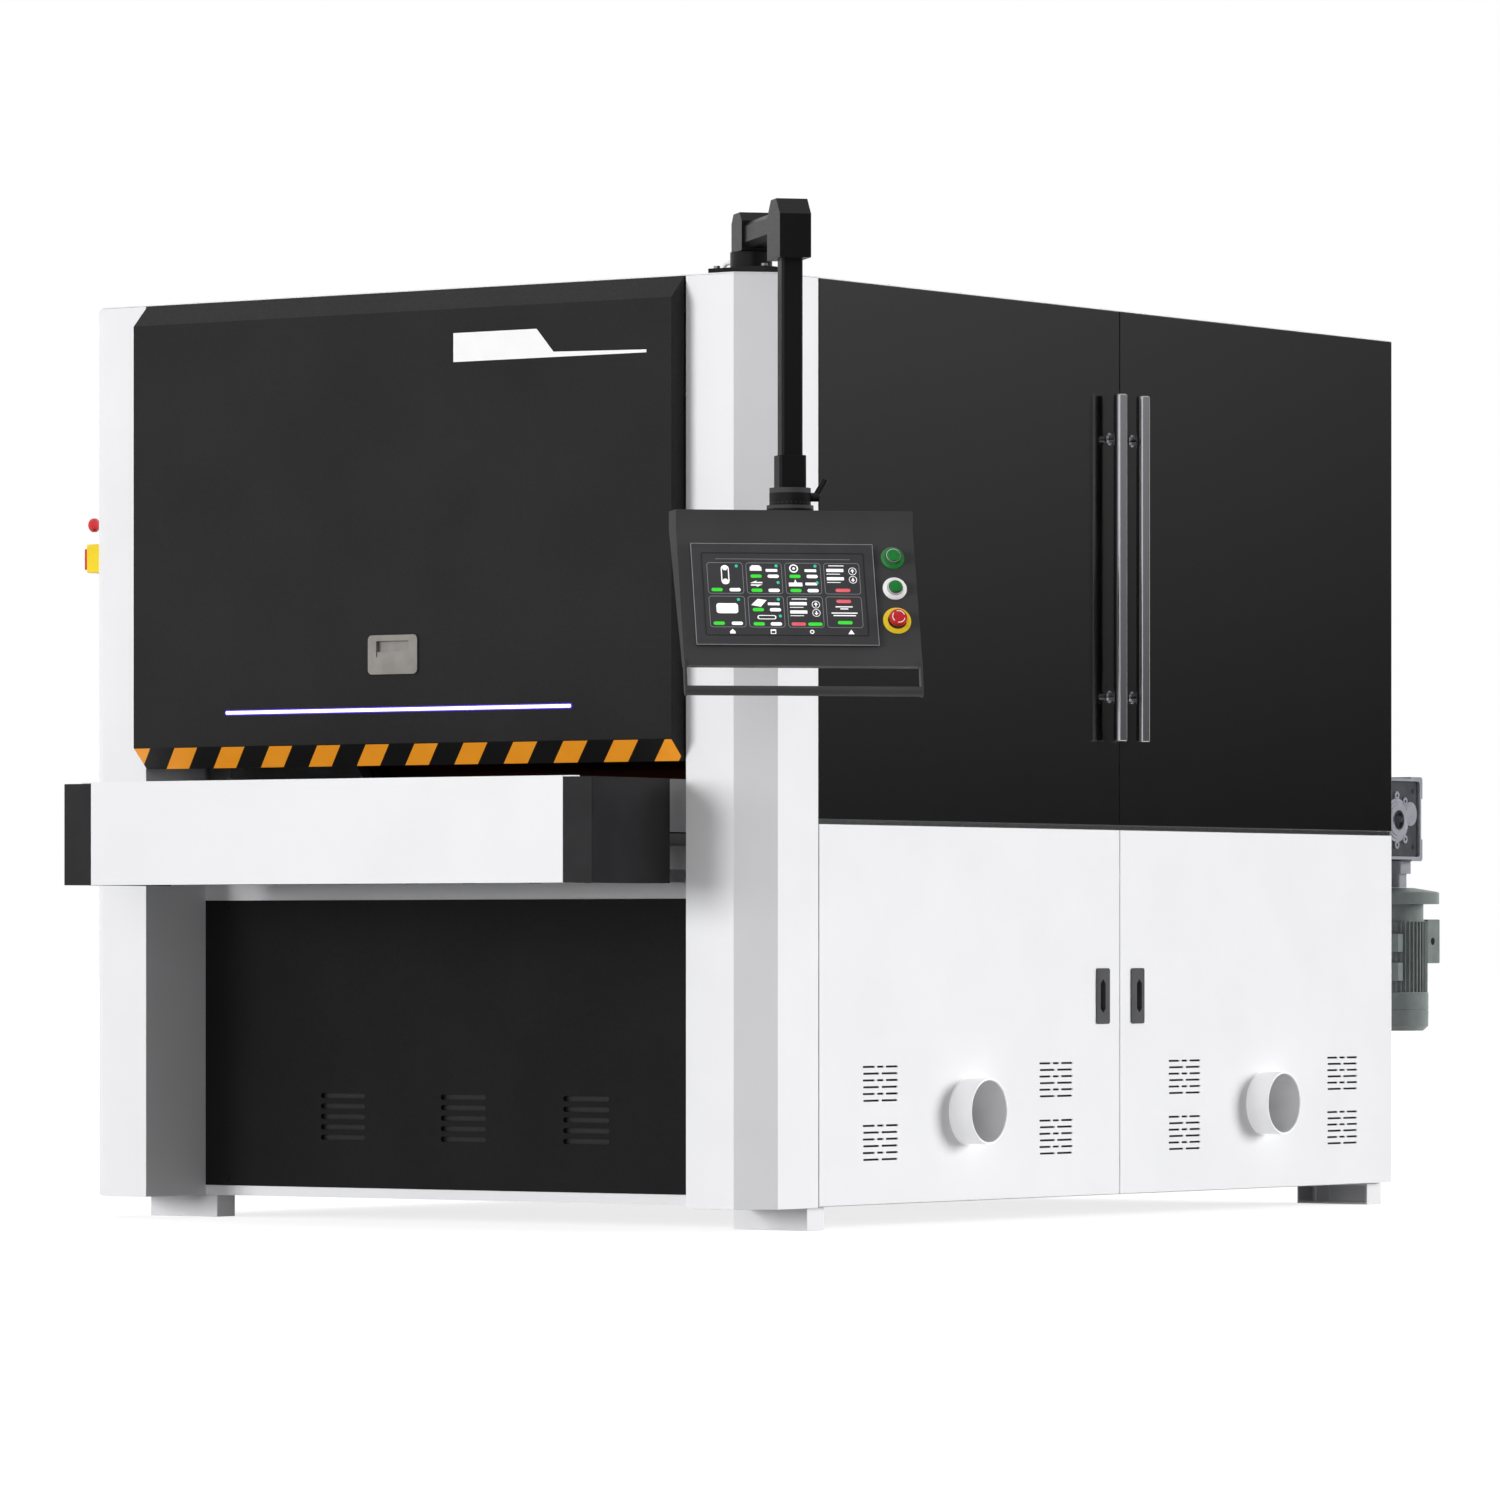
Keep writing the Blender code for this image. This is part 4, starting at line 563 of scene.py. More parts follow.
def rib_tree(name, material):
    """Ribs round a cylinder that stands on end, each one a thin plate that points outwards."""
    tree, given = new_tree(name, [("Count", "Int", 24), ("Radius", "Float", 0.08), ("Centre", "Vector", (0, 0, 0)),
                                  ("Size", "Vector", (0.01, 0.003, 0.2))])
    hoop = add(tree, "GeometryNodeMeshCircle", links={"Vertices": given["Count"], "Radius": given["Radius"]})
    spot = add(tree, "GeometryNodeInputPosition")
    turn = add(tree, "FunctionNodeAlignEulerToVector", {"axis": "X", "pivot_axis": "Z"},
               links={"Vector": spot})
    plate = add(tree, "GeometryNodeMeshCube", links={"Size": given["Size"]})
    ribs = add(tree, "GeometryNodeInstanceOnPoints",
               links={"Points": hoop, "Instance": plate, "Rotation": turn})
    shift = add(tree, "GeometryNodeTransform", links={"Geometry": ribs, "Translation": given["Centre"]})
    return close_tree(tree, shift, material)


SLOT_ROW = row_tree("slot_row", SLOT_BLACK, "slot")
SCREW_ROW = row_tree("screw_row", SCREW_STEEL, "round")
RIBS = rib_tree("motor_ribs", MOTOR_GREY)
FACE_UP = (0.0, 0.0, 0.0)                        # how a flat outline is turned to look along +Z,
FACE_FRONT = (math.pi / 2, 0.0, 0.0)             # along -Y,
FACE_BACK = (-math.pi / 2, 0.0, 0.0)             # along +Y,
FACE_RIGHT = (math.pi / 2, 0.0, math.pi / 2)     # along +X
FACE_LEFT = (math.pi / 2, 0.0, -math.pi / 2)     # and along -X


# ---- sheet metal body

def sheet_body():
    """The plain sheets, doors, feet and caps, with rounded edges."""
    eased_copies("column_left column_right roof_panel left_side_panel rear_panel", WHITE, 0.0010)
    eased_copies("foot_front_left foot_front_right foot_rear_left foot_rear_right", WHITE, 0.0015)
    eased_copies("table_front_panel", WHITE, 0.0010)
    eased_copies("upper_front_door upper_rear_door", DOOR_GLOSS, 0.0010)
    eased_copies("table_cap_left table_cap_right", CAP_PLASTIC, 0.0014)


def door_strip():
    """Bright trim that covers the gap between the upper and the lower doors."""
    low, high = inner("lower_front_door")
    end = inner("lower_rear_door")[1].y
    top = inner("upper_front_door")[0].z
    strip = soften(box((HALF_WIDTH - 0.022, low.y + 0.002, high.z + 0.0008),
                       (HALF_WIDTH - 0.004, end - 0.002, top - 0.0008)), 0.0008)
    finished("door_trim_strip", strip, SILVER_RING, "frame")


def screw_lines(name, words, starts, step, count, turn, radius=0.006, height=0.0025, material=SCREW_STEEL):
    """Two rows of button-head screws in the frame, one row for each word and start."""
    for word, start in zip(words.split(), starts):
        shape = grown(SCREW_ROW, count=count, start=start, step=step, length=radius, depth=height, turn=turn)
        finished(f"{name}_{word}", shape, material, "frame", smooth=30.0, slot="steel")


def panel_screws():
    """The screws that hold the rear and left panels and the roof."""
    edge = 0.022
    low, high = inner("rear_panel")
    starts = [Vector((x, high.y, low.z + 0.09)) for x in (low.x + edge, high.x - edge)]
    screw_lines("rear_screws", "left right", starts, (0.0, 0.0, (high.z - low.z - 0.18) / 7), 8, FACE_BACK)
    low, high = inner("left_side_panel")
    starts = [Vector((low.x, y, low.z + 0.09)) for y in (low.y + edge, high.y - edge)]
    screw_lines("left_screws", "front rear", starts, (0.0, 0.0, (high.z - low.z - 0.18) / 7), 8, FACE_LEFT)
    low, high = inner("roof_panel")
    starts = [Vector((x, low.y + 0.24, high.z)) for x in (low.x + edge, high.x - edge)]
    screw_lines("roof_screws", "left right", starts, (0.0, (high.y - low.y - 0.36) / 8, 0.0), 9, FACE_UP)


def front_lower_panel():
    """Black panel under the table with three groups of round-ended louvre slots."""
    low, high = inner("front_lower_panel")
    cuts = []
    for centre in (-0.370, -0.014, 0.342):
        start = (centre, high.y + 0.005, 0.193)
        cuts.append(grown(SLOT_ROW, count=5, start=start, step=(0.0, 0.0, 0.0245), length=0.131, height=0.012,
                          depth=0.012, turn=FACE_FRONT))
    renewed("front_lower_panel", carved(box(low, high), cuts=cuts), PANEL_BLACK)
    screen = box((low.x + 0.10, high.y + 0.0085, 0.150), (high.x - 0.10, high.y + 0.0095, 0.340))
    finished("louvre_screen", screen, SLOT_BLACK, "frame")
    starts = [(x, low.y, low.z + 0.015) for x in (low.x + 0.066, high.x - 0.066)]
    screw_lines("lower_panel_screws", "left right", starts, (0.0, 0.0, 0.642), 2, FACE_FRONT, material=PANEL_BLACK)


# ---- hood

def hood():
    """The hood with hazard stripes on its lower bevel, a light strip with a violet edge and a bare badge."""
    low, high = inner("front_hood")
    eased_copies("front_hood", HOOD_BLACK, 0.0012)
    bevel = (high.y - low.y) * math.sqrt(2)
    half_root = math.sqrt(0.5)
    frame_of_bevel = Matrix(((1, 0, 0, 0), (0, -half_root, -half_root, high.y),
                             (0, half_root, -half_root, low.z), (0, 0, 0, 1)))
    stripes = []
    count, lean, width, pitch = 13, 0.063, 0.068, 0.1422
    first = low.x + 0.061 - pitch
    bottom, top = 0.002, bevel - 0.002
    edge = (low.x + 0.0015, high.x - 0.0015)
    for number in range(count):
        foot = first + number * pitch
        outline = clipped([(foot, bottom), (foot + width, bottom), (foot + width + lean, top),
                           (foot + lean, top)], edge)
        if len(outline) >= 3:
            stripes.append(moved(prism(outline, "Z", 0.0001, 0.0006), frame_of_bevel))
    # The stripes glow a little: painted light.
    finished("hazard_stripes", joined(stripes), HAZARD_PAINTED_GLOW, "hood")
    strip_height = 1.185
    strip = rounded(1.004, 0.0075, 0.003, (0.0, strip_height))
    finished("light_strip", prism(strip, "Y", low.y - 0.0022, low.y - 0.0002), LIGHT_STRIP, "hood")
    edge_line = rounded(1.010, 0.0125, 0.005, (0.0, strip_height))
    finished("light_strip_edge", prism(edge_line, "Y", low.y - 0.0012, low.y - 0.0001), LIGHT_EDGE, "hood")
    plate = [(0.166, 1.975), (0.713, 1.975), (0.713, 1.9815), (0.452, 1.987), (0.404, 2.041), (0.166, 2.041)]
    finished("bare_badge_film", prism(plate, "Y", low.y - 0.0006, low.y - 0.0001), BADGE, "hood")


def clipped(outline, edge):
    """Cuts a convex outline at its least and greatest first coordinate."""
    for limit, keep in ((edge[0], 1), (edge[1], -1)):
        result = []
        for i in range(len(outline)):
            a, b = outline[i - 1], outline[i]
            inside = [keep * (p[0] - limit) >= 0 for p in (a, b)]
            if inside[0] != inside[1]:
                t = (limit - a[0]) / (b[0] - a[0])
                result.append((limit, a[1] + t * (b[1] - a[1])))
            if inside[1]:
                result.append(b)
        outline = result
        if not outline:
            return outline
    return outline


def latch():
    """Cast flap with a finger slot, a small step under the slot's left end and round corners."""
    low, high = inner("hood_latch")
    centre = ((low.x + high.x) / 2, (low.z + high.z) / 2)
    wide, tall = high.x - low.x, high.z - low.z
    plate = prism(rounded(wide, tall, 0.011, centre), "Y", low.y, low.y + 0.004)
    back = prism(rounded(wide - 0.014, tall - 0.014, 0.008, centre), "Y", low.y + 0.003, high.y)
    slot_middle = (centre[0], centre[1] + 0.019)
    slot = prism(rounded(0.094, 0.025, 0.0015, slot_middle), "Y", low.y - 0.01, high.y - 0.002)
    step_middle = (centre[0] - 0.047 + 0.015, slot_middle[1] - 0.018)
    step = prism(rounded(0.030, 0.013, 0.001, step_middle), "Y", low.y - 0.01, low.y + 0.0025)
    shape = carved(plate, [back], [slot, step])
    renewed("hood_latch", soften(shape, 0.0008, 40.0), LATCH_METAL)


# ---- right side doors

PORT_HEIGHT = 0.261              # of the dust ports' middle
PORT_INSET = 0.597               # from the outer edge of the door
VENT_HEIGHTS = (0.329, 0.195)


def vent_cutters(middle):
    """Six rows of slots: long, short, long in one row and two long ones in the next."""
    pitch, high = 0.0154, 0.0048
    cutters = []
    lowest = middle[1] - 2.5 * pitch
    for offset, length, first in ((-0.046, 0.048, 1), (0.0, 0.026, 1), (0.046, 0.048, 1),
                                  (-0.0365, 0.063, 0), (0.0365, 0.063, 0)):
        start = (HALF_WIDTH - 0.006, middle[0] + offset, lowest + first * pitch)
        cutters.append(grown(SLOT_ROW, count=3, start=start, step=(0.0, 0.0, 2 * pitch), length=length,
                             height=high, depth=0.012, turn=FACE_RIGHT))
    return cutters


def lower_door(end, port_y, vents):
    """White door with its dust port spigot, four fields of vent slots and the hole for the pull."""
    door = f"lower_{end}_door"
    body = body_of(door)
    low, high = inner(door)
    outer = box((low.x, low.y, low.z), (HALF_WIDTH, high.y, high.z))
    soften(outer, 0.0014)
    sheet = 0.003
    space = box((low.x - 0.01, low.y + sheet, low.z + sheet), (HALF_WIDTH - sheet, high.y - sheet, high.z - sheet))
    centre = (port_y, PORT_HEIGHT)
    lip = high.x
    stub = turned([(HALF_WIDTH - 0.0015, 0.0790), (HALF_WIDTH + 0.0015, 0.0790), (HALF_WIDTH + 0.0030, 0.0768),
                   (HALF_WIDTH + 0.0060, 0.0760), (lip - 0.0008, 0.0760), (lip, 0.0752)], "X", centre)
    bore = turned([(HALF_WIDTH - 0.02, 0.0730), (lip - 0.0008, 0.0730), (lip + 0.001, 0.0742),
                   (lip + 0.01, 0.0742)], "X", centre)
    liner = ring_of(circle(centre, 0.0729), circle(centre, 0.0714), "X", HALF_WIDTH - 0.070, lip - 0.0016)
    finished(f"{end}_port_liner", liner, WHITE, body, smooth=30.0)
    pull, rim = inner(f"{end}_door_pull"), 0.0047
    window = box((HALF_WIDTH - 0.02, pull[0].y + rim, pull[0].z + rim),
                 (HALF_WIDTH + 0.02, pull[1].y - rim, pull[1].z - rim))
    slots = []
    for y in vents:
        for z in VENT_HEIGHTS:
            slots += vent_cutters((y, z))
            screen = box((HALF_WIDTH - 0.0068, y - 0.078, z - 0.050), (HALF_WIDTH - 0.0058, y + 0.078, z + 0.050))
            finished(f"vent_screen_{round(y * 1000)}_{round(z * 1000)}", screen, SLOT_BLACK, body)
    hole = rod(HALF_WIDTH - 0.02, HALF_WIDTH + 0.02, 0.0740, centre, sides=FINE)
    # The spigot glows: painted light on its outer side.
    finished(f"{end}_port_spigot", carved(stub, cuts=[bore]), SPIGOT_PAINTED_GLOW, body, smooth=30.0)
    shape = carved(outer, cuts=[space, hole, window, joined(slots)])
    renewed(door, shape, WHITE, 30.0)


def door_pull(end, side_step):
    """Flush pull: a plate with rounded edges and a long recess with pointed ends."""
    low, high = inner(f"{end}_door_pull")
    y, z = (low.y + high.y) / 2, (low.z + high.z) / 2
    plate = soften(prism(rounded(high.y - low.y, high.z - low.z, 0.006, (y, z)), "X", HALF_WIDTH + 0.0003,
                         HALF_WIDTH + 0.0035), 0.0012, 60.0)
    rim = 0.0052
    cup = box((low.x, low.y + rim, low.z + rim), (HALF_WIDTH + 0.001, high.y - rim, high.z - rim))
    half, tall, point = 0.0105, 0.040, 0.010
    y += side_step
    hexagon = [(y - half, z - tall + point), (y, z - tall), (y + half, z - tall + point),
               (y + half, z + tall - point), (y, z + tall), (y - half, z + tall - point)]
    recess = prism(hexagon, "X", low.x + 0.002, HALF_WIDTH + 0.02)
    renewed(f"{end}_door_pull", carved(plate, [cup], [recess]), PULL_PLASTIC)


def door_handle(end):
    """Long drawn tube with closed, eased ends on two stand-offs."""
    low, high = inner(f"{end}_door_handle")
    axis = (high.x - 0.016, (low.y + high.y) / 2)
    tube = turned(eased([(low.z, high.z, 0.016)], 0.0015), "Z", axis)
    studs = [turned(eased([(HALF_WIDTH + 0.0003, HALF_WIDTH + 0.004, 0.014), (HALF_WIDTH + 0.004, axis[0], 0.010)],
                          0.0006), "X", (axis[1], z), SMALL) for z in (low.z + 0.105, high.z - 0.105)]
    renewed(f"{end}_door_handle", carved(tube, studs), HANDLE_STEEL)


def right_side():
    """The trim and, on each pair of doors, the ports, vents, pulls and handles."""
    door_strip()
    ports = {"front": inner("lower_front_door")[0].y + PORT_INSET,
             "rear": inner("lower_rear_door")[1].y - PORT_INSET}
    for end, vents, pull_step in (("front", (0.473, 1.195), -0.002), ("rear", (1.752, 2.471), 0.005)):
        lower_door(end, ports[end], vents)
        door_pull(end, pull_step)
        door_handle(end)


# ---- belts, rollers and drums

def belt_loop(first, first_radius, second, second_radius, thickness, start, end):
    """A tight flat belt round two wheels, with fine facets."""
    away = Vector(second) - Vector(first)
    heading = math.atan2(away.y, away.x)
    lean = math.acos((first_radius - second_radius) / away.length)
    lines = []
    for grow in (thickness, 0.0003):
        line = []
        for centre, radius, begin, finish in (
                (second, second_radius, heading - lean, heading + lean),
                (first, first_radius, heading + lean, heading - lean + 2 * math.pi)):
            count = max(2, math.ceil((finish - begin) / math.radians(4)))
            for i in range(count + 1):
                angle = begin + (finish - begin) * i / count
                line.append((centre[0] + (radius + grow) * math.cos(angle),
                             centre[1] + (radius + grow) * math.sin(angle)))
        lines.append(line)
    return ring_of(lines[0], lines[1], "X", start, end)


def hub_of(node):
    """Where the axis of a round node lies that runs along X."""
    low, high = inner(node)
    return (low.y + high.y) / 2, (low.z + high.z) / 2


def stepped_roller(node, material, steps, ease, slot=None):
    """A roller or drum from its steps (start, end, radius) along its own axis."""
    renewed(node, turned(eased(steps, ease), "X", hub_of(node)), material, slot=slot)


def running_gear():
    """Belts, rollers, drums and pulleys, rounder than the CAD has them."""
    low, high = inner("conveyor_belt")
    belt = belt_loop(hub_of("conveyor_idler_roller"), 0.0592, hub_of("conveyor_drive_roller"), 0.0592, 0.0033,
                     low.x, high.x)
    renewed("conveyor_belt", belt, BELT_RUBBER, 30.0)
    for node in ("conveyor_idler_roller", "conveyor_drive_roller"):
        low, high = inner(node)
        steps = [(low.x, -0.680, 0.020), (-0.680, 0.680, 0.0590), (0.680, high.x, 0.020)]
        stepped_roller(node, BRIGHT_STEEL, steps, 0.0012)
    for end in ("front", "rear"):
        drum, tension, pulley = f"contact_drum_{end}", f"tension_roller_{end}", f"drive_belt_{end}"
        low, high = inner(drum)
        groove = (inner(pulley)[0].x, inner(pulley)[1].x)
        steps = [(low.x, groove[0] - 0.003, 0.030), (groove[0] - 0.003, groove[1] + 0.003, 0.0995),
                 (groove[1] + 0.003, -0.660, 0.030), (-0.660, 0.660, 0.1195), (0.660, high.x, 0.030)]
        stepped_roller(drum, DRUM_RUBBER, steps, 0.002)
        low, high = inner(tension)
        steps = [(low.x, -0.660, 0.020), (-0.660, 0.660, 0.0597), (0.660, high.x, 0.020)]
        stepped_roller(tension, BRIGHT_STEEL, steps, 0.0015, "alloy")
        cloth = f"abrasive_belt_{end}"
        low, high = inner(cloth)
        belt = belt_loop(hub_of(drum), 0.1202, hub_of(tension), 0.0602, 0.0015, low.x, high.x)
        renewed(cloth, belt, GRIT, 30.0)
        belt = belt_loop(hub_of("motor_pulley"), 0.0803, hub_of(drum), 0.1003, 0.0100, *groove)
        renewed(pulley, belt, BELT_RUBBER, 30.0)


# ---- conveyor gear motor

def gearbox():
    """Cast worm gearbox: thick corners, a pocket on each side, an output flange with ears and a cover."""
    drive = hub_of("conveyor_drive_roller")
    top = inner("worm_gearbox")[1]
    low = Vector((top.x - 0.120, drive[0] - 0.118, top.z - 0.212))
    high = Vector((top.x, drive[0] + 0.118, top.z))
    middle = ((low.y + high.y) / 2, (low.z + high.z) / 2)
    wide, tall = high.y - low.y, high.z - low.z
    past = 0.01                     # how far a cut goes beyond the casting
    case = prism(rounded(wide, tall, 0.008, middle), "X", low.x, high.x)
    motor = motor_axis()
    seat = prism(rounded(0.060, 0.056, 0.006, motor), "Z", high.z - 0.244, high.z - 0.206)
    neck = prism(rounded(0.044, 0.044, 0.008, motor), "Z", 0.7905, high.z - 0.240)
    boss = rod(0.7153, low.x + 0.003, 0.060, drive, sides=FINE)
    cuts = [rod(0.70, high.x + 0.04, 0.0206, drive)]
    for side in (-1, 1):
        edge = middle[0] + side * wide / 2
        cuts.append(box((low.x - past, min(edge, edge - side * 0.006), low.z + 0.055),
                        (high.x + past, max(edge, edge - side * 0.006), high.z - 0.055)))
        edge = middle[1] + side * tall / 2
        cuts.append(box((low.x - past, low.y + 0.053, min(edge, edge - side * 0.004)),
                        (high.x + past, high.y - 0.053, max(edge, edge - side * 0.004))))
    pocket = rounded(wide - 0.026, tall - 0.022, 0.008, middle)
    cuts.append(prism(pocket, "X", high.x - 0.007, high.x + past))
    cuts.append(prism(pocket, "X", low.x - past, low.x + 0.007))
    corners = [(middle[0] + side * (wide / 2 - 0.036), middle[1] + up * (tall / 2 - 0.036))
               for side in (-1, 1) for up in (-1, 1)]
    cuts += [rod(low.x - past, high.x + past, 0.0068, spot) for spot in corners]
    shape = carved(case, [seat, neck, boss], cuts)
    finished("gearbox_case", shape, GEARBOX_LIGHT, "table", ["worm_gearbox"], 30.0)
    gearbox_floors(pocket, corners, drive, low.x + 0.0068, high.x - 0.0078)
    output_flange(drive, high.x)


def gearbox_floors(pocket, corners, drive, inside, outside):
    """The floors of the two pockets, darker than the casting round them as painted shade of the recesses, with the
    through holes of the corners.
    """
    floors = []
    for x in (inside, outside):
        holes = [rod(x - 0.01, x + 0.01, 0.0300, drive)]
        holes += [rod(x - 0.01, x + 0.01, 0.0066, spot) for spot in corners]
        floors.append(carved(prism(pocket, "X", x, x + 0.001), cuts=holes))
    # The darker pocket floors are painted shade.
    finished("gearbox_pocket_floor", joined(floors), GEARBOX_POCKET_SHADE, "table")


def output_flange(drive, face):
    """Stepped ring with six drilled ears round a hollow shaft, and the worm's end cover beside it."""
    ring = turned([(face - 0.0066, 0.0555), (face - 0.0035, 0.0550), (face - 0.0030, 0.0470),
                   (face - 0.0010, 0.0465), (face - 0.0006, 0.0400), (face + 0.0010, 0.0395),
                   (face + 0.0016, 0.0370)], "X", drive)
    ears, holes = [], [rod(face - 0.008, face + 0.02, 0.0262, drive)]
    for degrees in (50, 90, 130, 230, 270, 310):
        angle = math.radians(degrees)
        spot = (drive[0] + 0.0620 * math.cos(angle), drive[1] + 0.0620 * math.sin(angle))
        ears.append(turned([(face - 0.0066, 0.0110), (face - 0.0025, 0.0105)], "X", spot, 12))
        holes.append(rod(face - 0.006, face + 0.02, 0.0045, spot))
    finished("gearbox_output_flange", carved(ring, [joined(ears)], holes), GEARBOX_LIGHT, "table")
    hub = turned([(face - 0.006, 0.0260), (face + 0.0020, 0.0260), (face + 0.0030, 0.0250)], "X", drive)
    shaft = carved(hub, cuts=[rod(face - 0.010, face + 0.02, 0.0207, drive)])
    finished("gearbox_hollow_shaft", shaft, SCREW_STEEL, "table")
    profile = [(face - 0.0066, 0.0310), (face - 0.0030, 0.0300), (face - 0.0028, 0.0260), (face - 0.0018, 0.0250)]
    cover = turned(profile, "X", (drive[0] + 0.066, drive[1] + 0.016))
    finished("gearbox_end_cover", cover, GEARBOX_LIGHT, "table")


def motor_axis():
    """Where the motor's axis stands; its flange is its widest round part."""
    low, high = inner("conveyor_motor")
    return (low.x + high.x) / 2, hub_of("conveyor_drive_roller")[0] + 0.082


def gear_motor():
    """Flanged motor: thick round flange, end bell, ribbed body, fan cover, terminal box and foot pads."""
    high = inner("conveyor_motor")[1]
    x, y = motor_axis()
    core = rod(0.524, 0.705, 0.0755, (x, y), "Z", FINE)
    flange = turned([(0.7483, 0.0700), (0.7485, 0.1085), (0.7500, 0.1098), (0.7760, 0.1098), (0.7790, 0.1075),
                     (0.7895, 0.0450), (0.7898, 0.0300)], "Z", (x, y))
    bell = turned([(0.700, 0.0745), (0.712, 0.0700), (0.7490, 0.0700)], "Z", (x, y))
    finished("motor_body", carved(core, [flange, bell]), MOTOR_GREY, "table", ["conveyor_motor"], 30.0)
    ribs = grown(RIBS, count=44, radius=0.0775, centre=(x, y, 0.614), size=(0.0060, 0.0034, 0.180))
    finished("motor_ribs", ribs, MOTOR_GREY, "table", smooth=20.0)
    cover = turned([(0.429, 0.070), (0.441, 0.0825), (0.480, 0.0830), (0.4805, 0.0820), (0.4825, 0.0820),
                    (0.483, 0.0830), (0.5240, 0.0830), (0.5265, 0.0815), (0.5265, 0.0700)], "Z", (x, y))
    finished("motor_fan_cover", cover, MOTOR_GREY, "table", smooth=30.0)
    terminal = soften(box((x - 0.045, y + 0.066, 0.599), (x + 0.0545, high.y, 0.710)), 0.003)
    entry = (y + 0.091, 0.655)
    mouth = rod(x + 0.040, x + 0.07, 0.0095, entry)
    finished("motor_terminal_box", carved(terminal, cuts=[mouth]), MOTOR_GREY, "table")
    finished("motor_cable_entry", rod(x + 0.0405, x + 0.0450, 0.0093, entry), SLOT_BLACK, "table")
    pads = [soften(box((x - 0.040, y - 0.0805, z), (x + 0.056, y - 0.045, z + 0.046)), 0.002)
            for z in (0.555, 0.628)]
    finished("motor_pads", joined(pads), MOTOR_GREY, "table")


# ---- switches on the left

def left_switches():
    """The isolator and the emergency stop on one white plate."""
    low, high = inner("isolator_body")
    y = hub_of("isolator_body")[0]
    stop_z = hub_of("side_estop_button")[1]
    plate = box((-HALF_WIDTH - 0.003, 0.073, 1.509), (-HALF_WIDTH - 0.0002, 0.229, 1.676))
    holes = [rod(-HALF_WIDTH - 0.02, -HALF_WIDTH + 0.02, 0.0135, (y, stop_z)),
             box((-1.2, low.y + 0.001, low.z + 0.001), (-0.9, high.y - 0.001, high.z - 0.001))]
    finished("switch_plate", soften(carved(plate, cuts=holes), 0.0005), WHITE, "frame")
    renewed("isolator_body", soften(box(low, high), 0.0040), YELLOW_PLASTIC)
    knob_low, knob_high = inner("isolator_knob")
    z = hub_of("isolator_knob")[1]
    back = knob_high.x
    disc = turned([(back, 0.0325), (back - 0.006, 0.0325), (back - 0.008, 0.0305)], "X", (y, z))
    grip = soften(box((knob_low.x, y - 0.0075, z - 0.0250), (back - 0.006, y + 0.0075, z + 0.0250)), 0.0025)
    renewed("isolator_knob", carved(disc, [grip]), RED_PLASTIC)
    tip = inner("side_estop_button")[0].x
    profile = [(tip, 0.0085), (tip + 0.0015, 0.0130), (tip + 0.006, 0.0165), (tip + 0.014, 0.0165),
               (tip + 0.019, 0.0130), (tip + 0.024, 0.0113), (-HALF_WIDTH + 0.015, 0.0113)]
    renewed("side_estop_button", turned(profile, "X", (y, stop_z), SMALL), RED_PLASTIC)


# ---- swing arm and console

ARM_AXIS = Vector((0.884, 0.115, 0.0))
ARM_REACH = 0.380
ARM_TURN = math.radians(48.7)
POLE = ARM_AXIS + Vector((ARM_REACH * math.sin(ARM_TURN), -ARM_REACH * math.cos(ARM_TURN), 0.0))
CONSOLE = Matrix.Translation(POLE) @ Matrix.Rotation(math.radians(45.0), 4, "Z")
FACE = CONSOLE @ Matrix.Translation((0.0, -0.058, 1.559)) @ Matrix.Rotation(math.radians(68.0), 4, "X")
SCREEN = FACE @ Matrix.Translation((-0.0326, -0.1605, 0.0060))
BUTTON_COLUMN = 0.214            # across the console's face
START_DOWN, FEED_DOWN, STOP_DOWN = 0.069, 0.143, 0.220     # and down from its top


def swing_arm():
    """The arm on its screwed base, its lever, and the bent end of a cable duct beside the base."""
    eased_copies("swing_arm", ARM_BLACK, 0.0012)
    eased_copies("arm_base", ARM_BLACK, 0.0010)
    eased_copies("lock_lever", CAP_PLASTIC, 0.0006)
    low, high = inner("arm_base")
    edge = 0.014
    starts = [(x, low.y + edge, low.z + 0.0155) for x in (low.x + edge, high.x - edge)]
    screw_lines("arm_base_screws", "left right", starts, (0.0, high.y - low.y - 2 * edge, 0.0), 2, FACE_UP, 0.0075,
                0.006)
    bend = ((0.838, 2.182), (0.822, 2.182), (0.812, 2.180), (0.806, 2.174), (0.804, 2.164), (0.804, 2.1508))
    finished("cable_elbow", tube_along([Vector((x, 0.118, z)) for x, z in bend], 0.0055), WHITE, "frame")


def tube_along(points, radius, sides=16):
    """A round tube that follows points."""
    rings = []
    for i, point in enumerate(points):
        before, after = points[max(i - 1, 0)], points[min(i + 1, len(points) - 1)]
        turn = (after - before).to_track_quat("Z", "Y")
        rings.append([point + turn @ Vector((a, b, 0.0)) for a, b in circle((0.0, 0.0), radius, sides)])
    return skinned(rings)


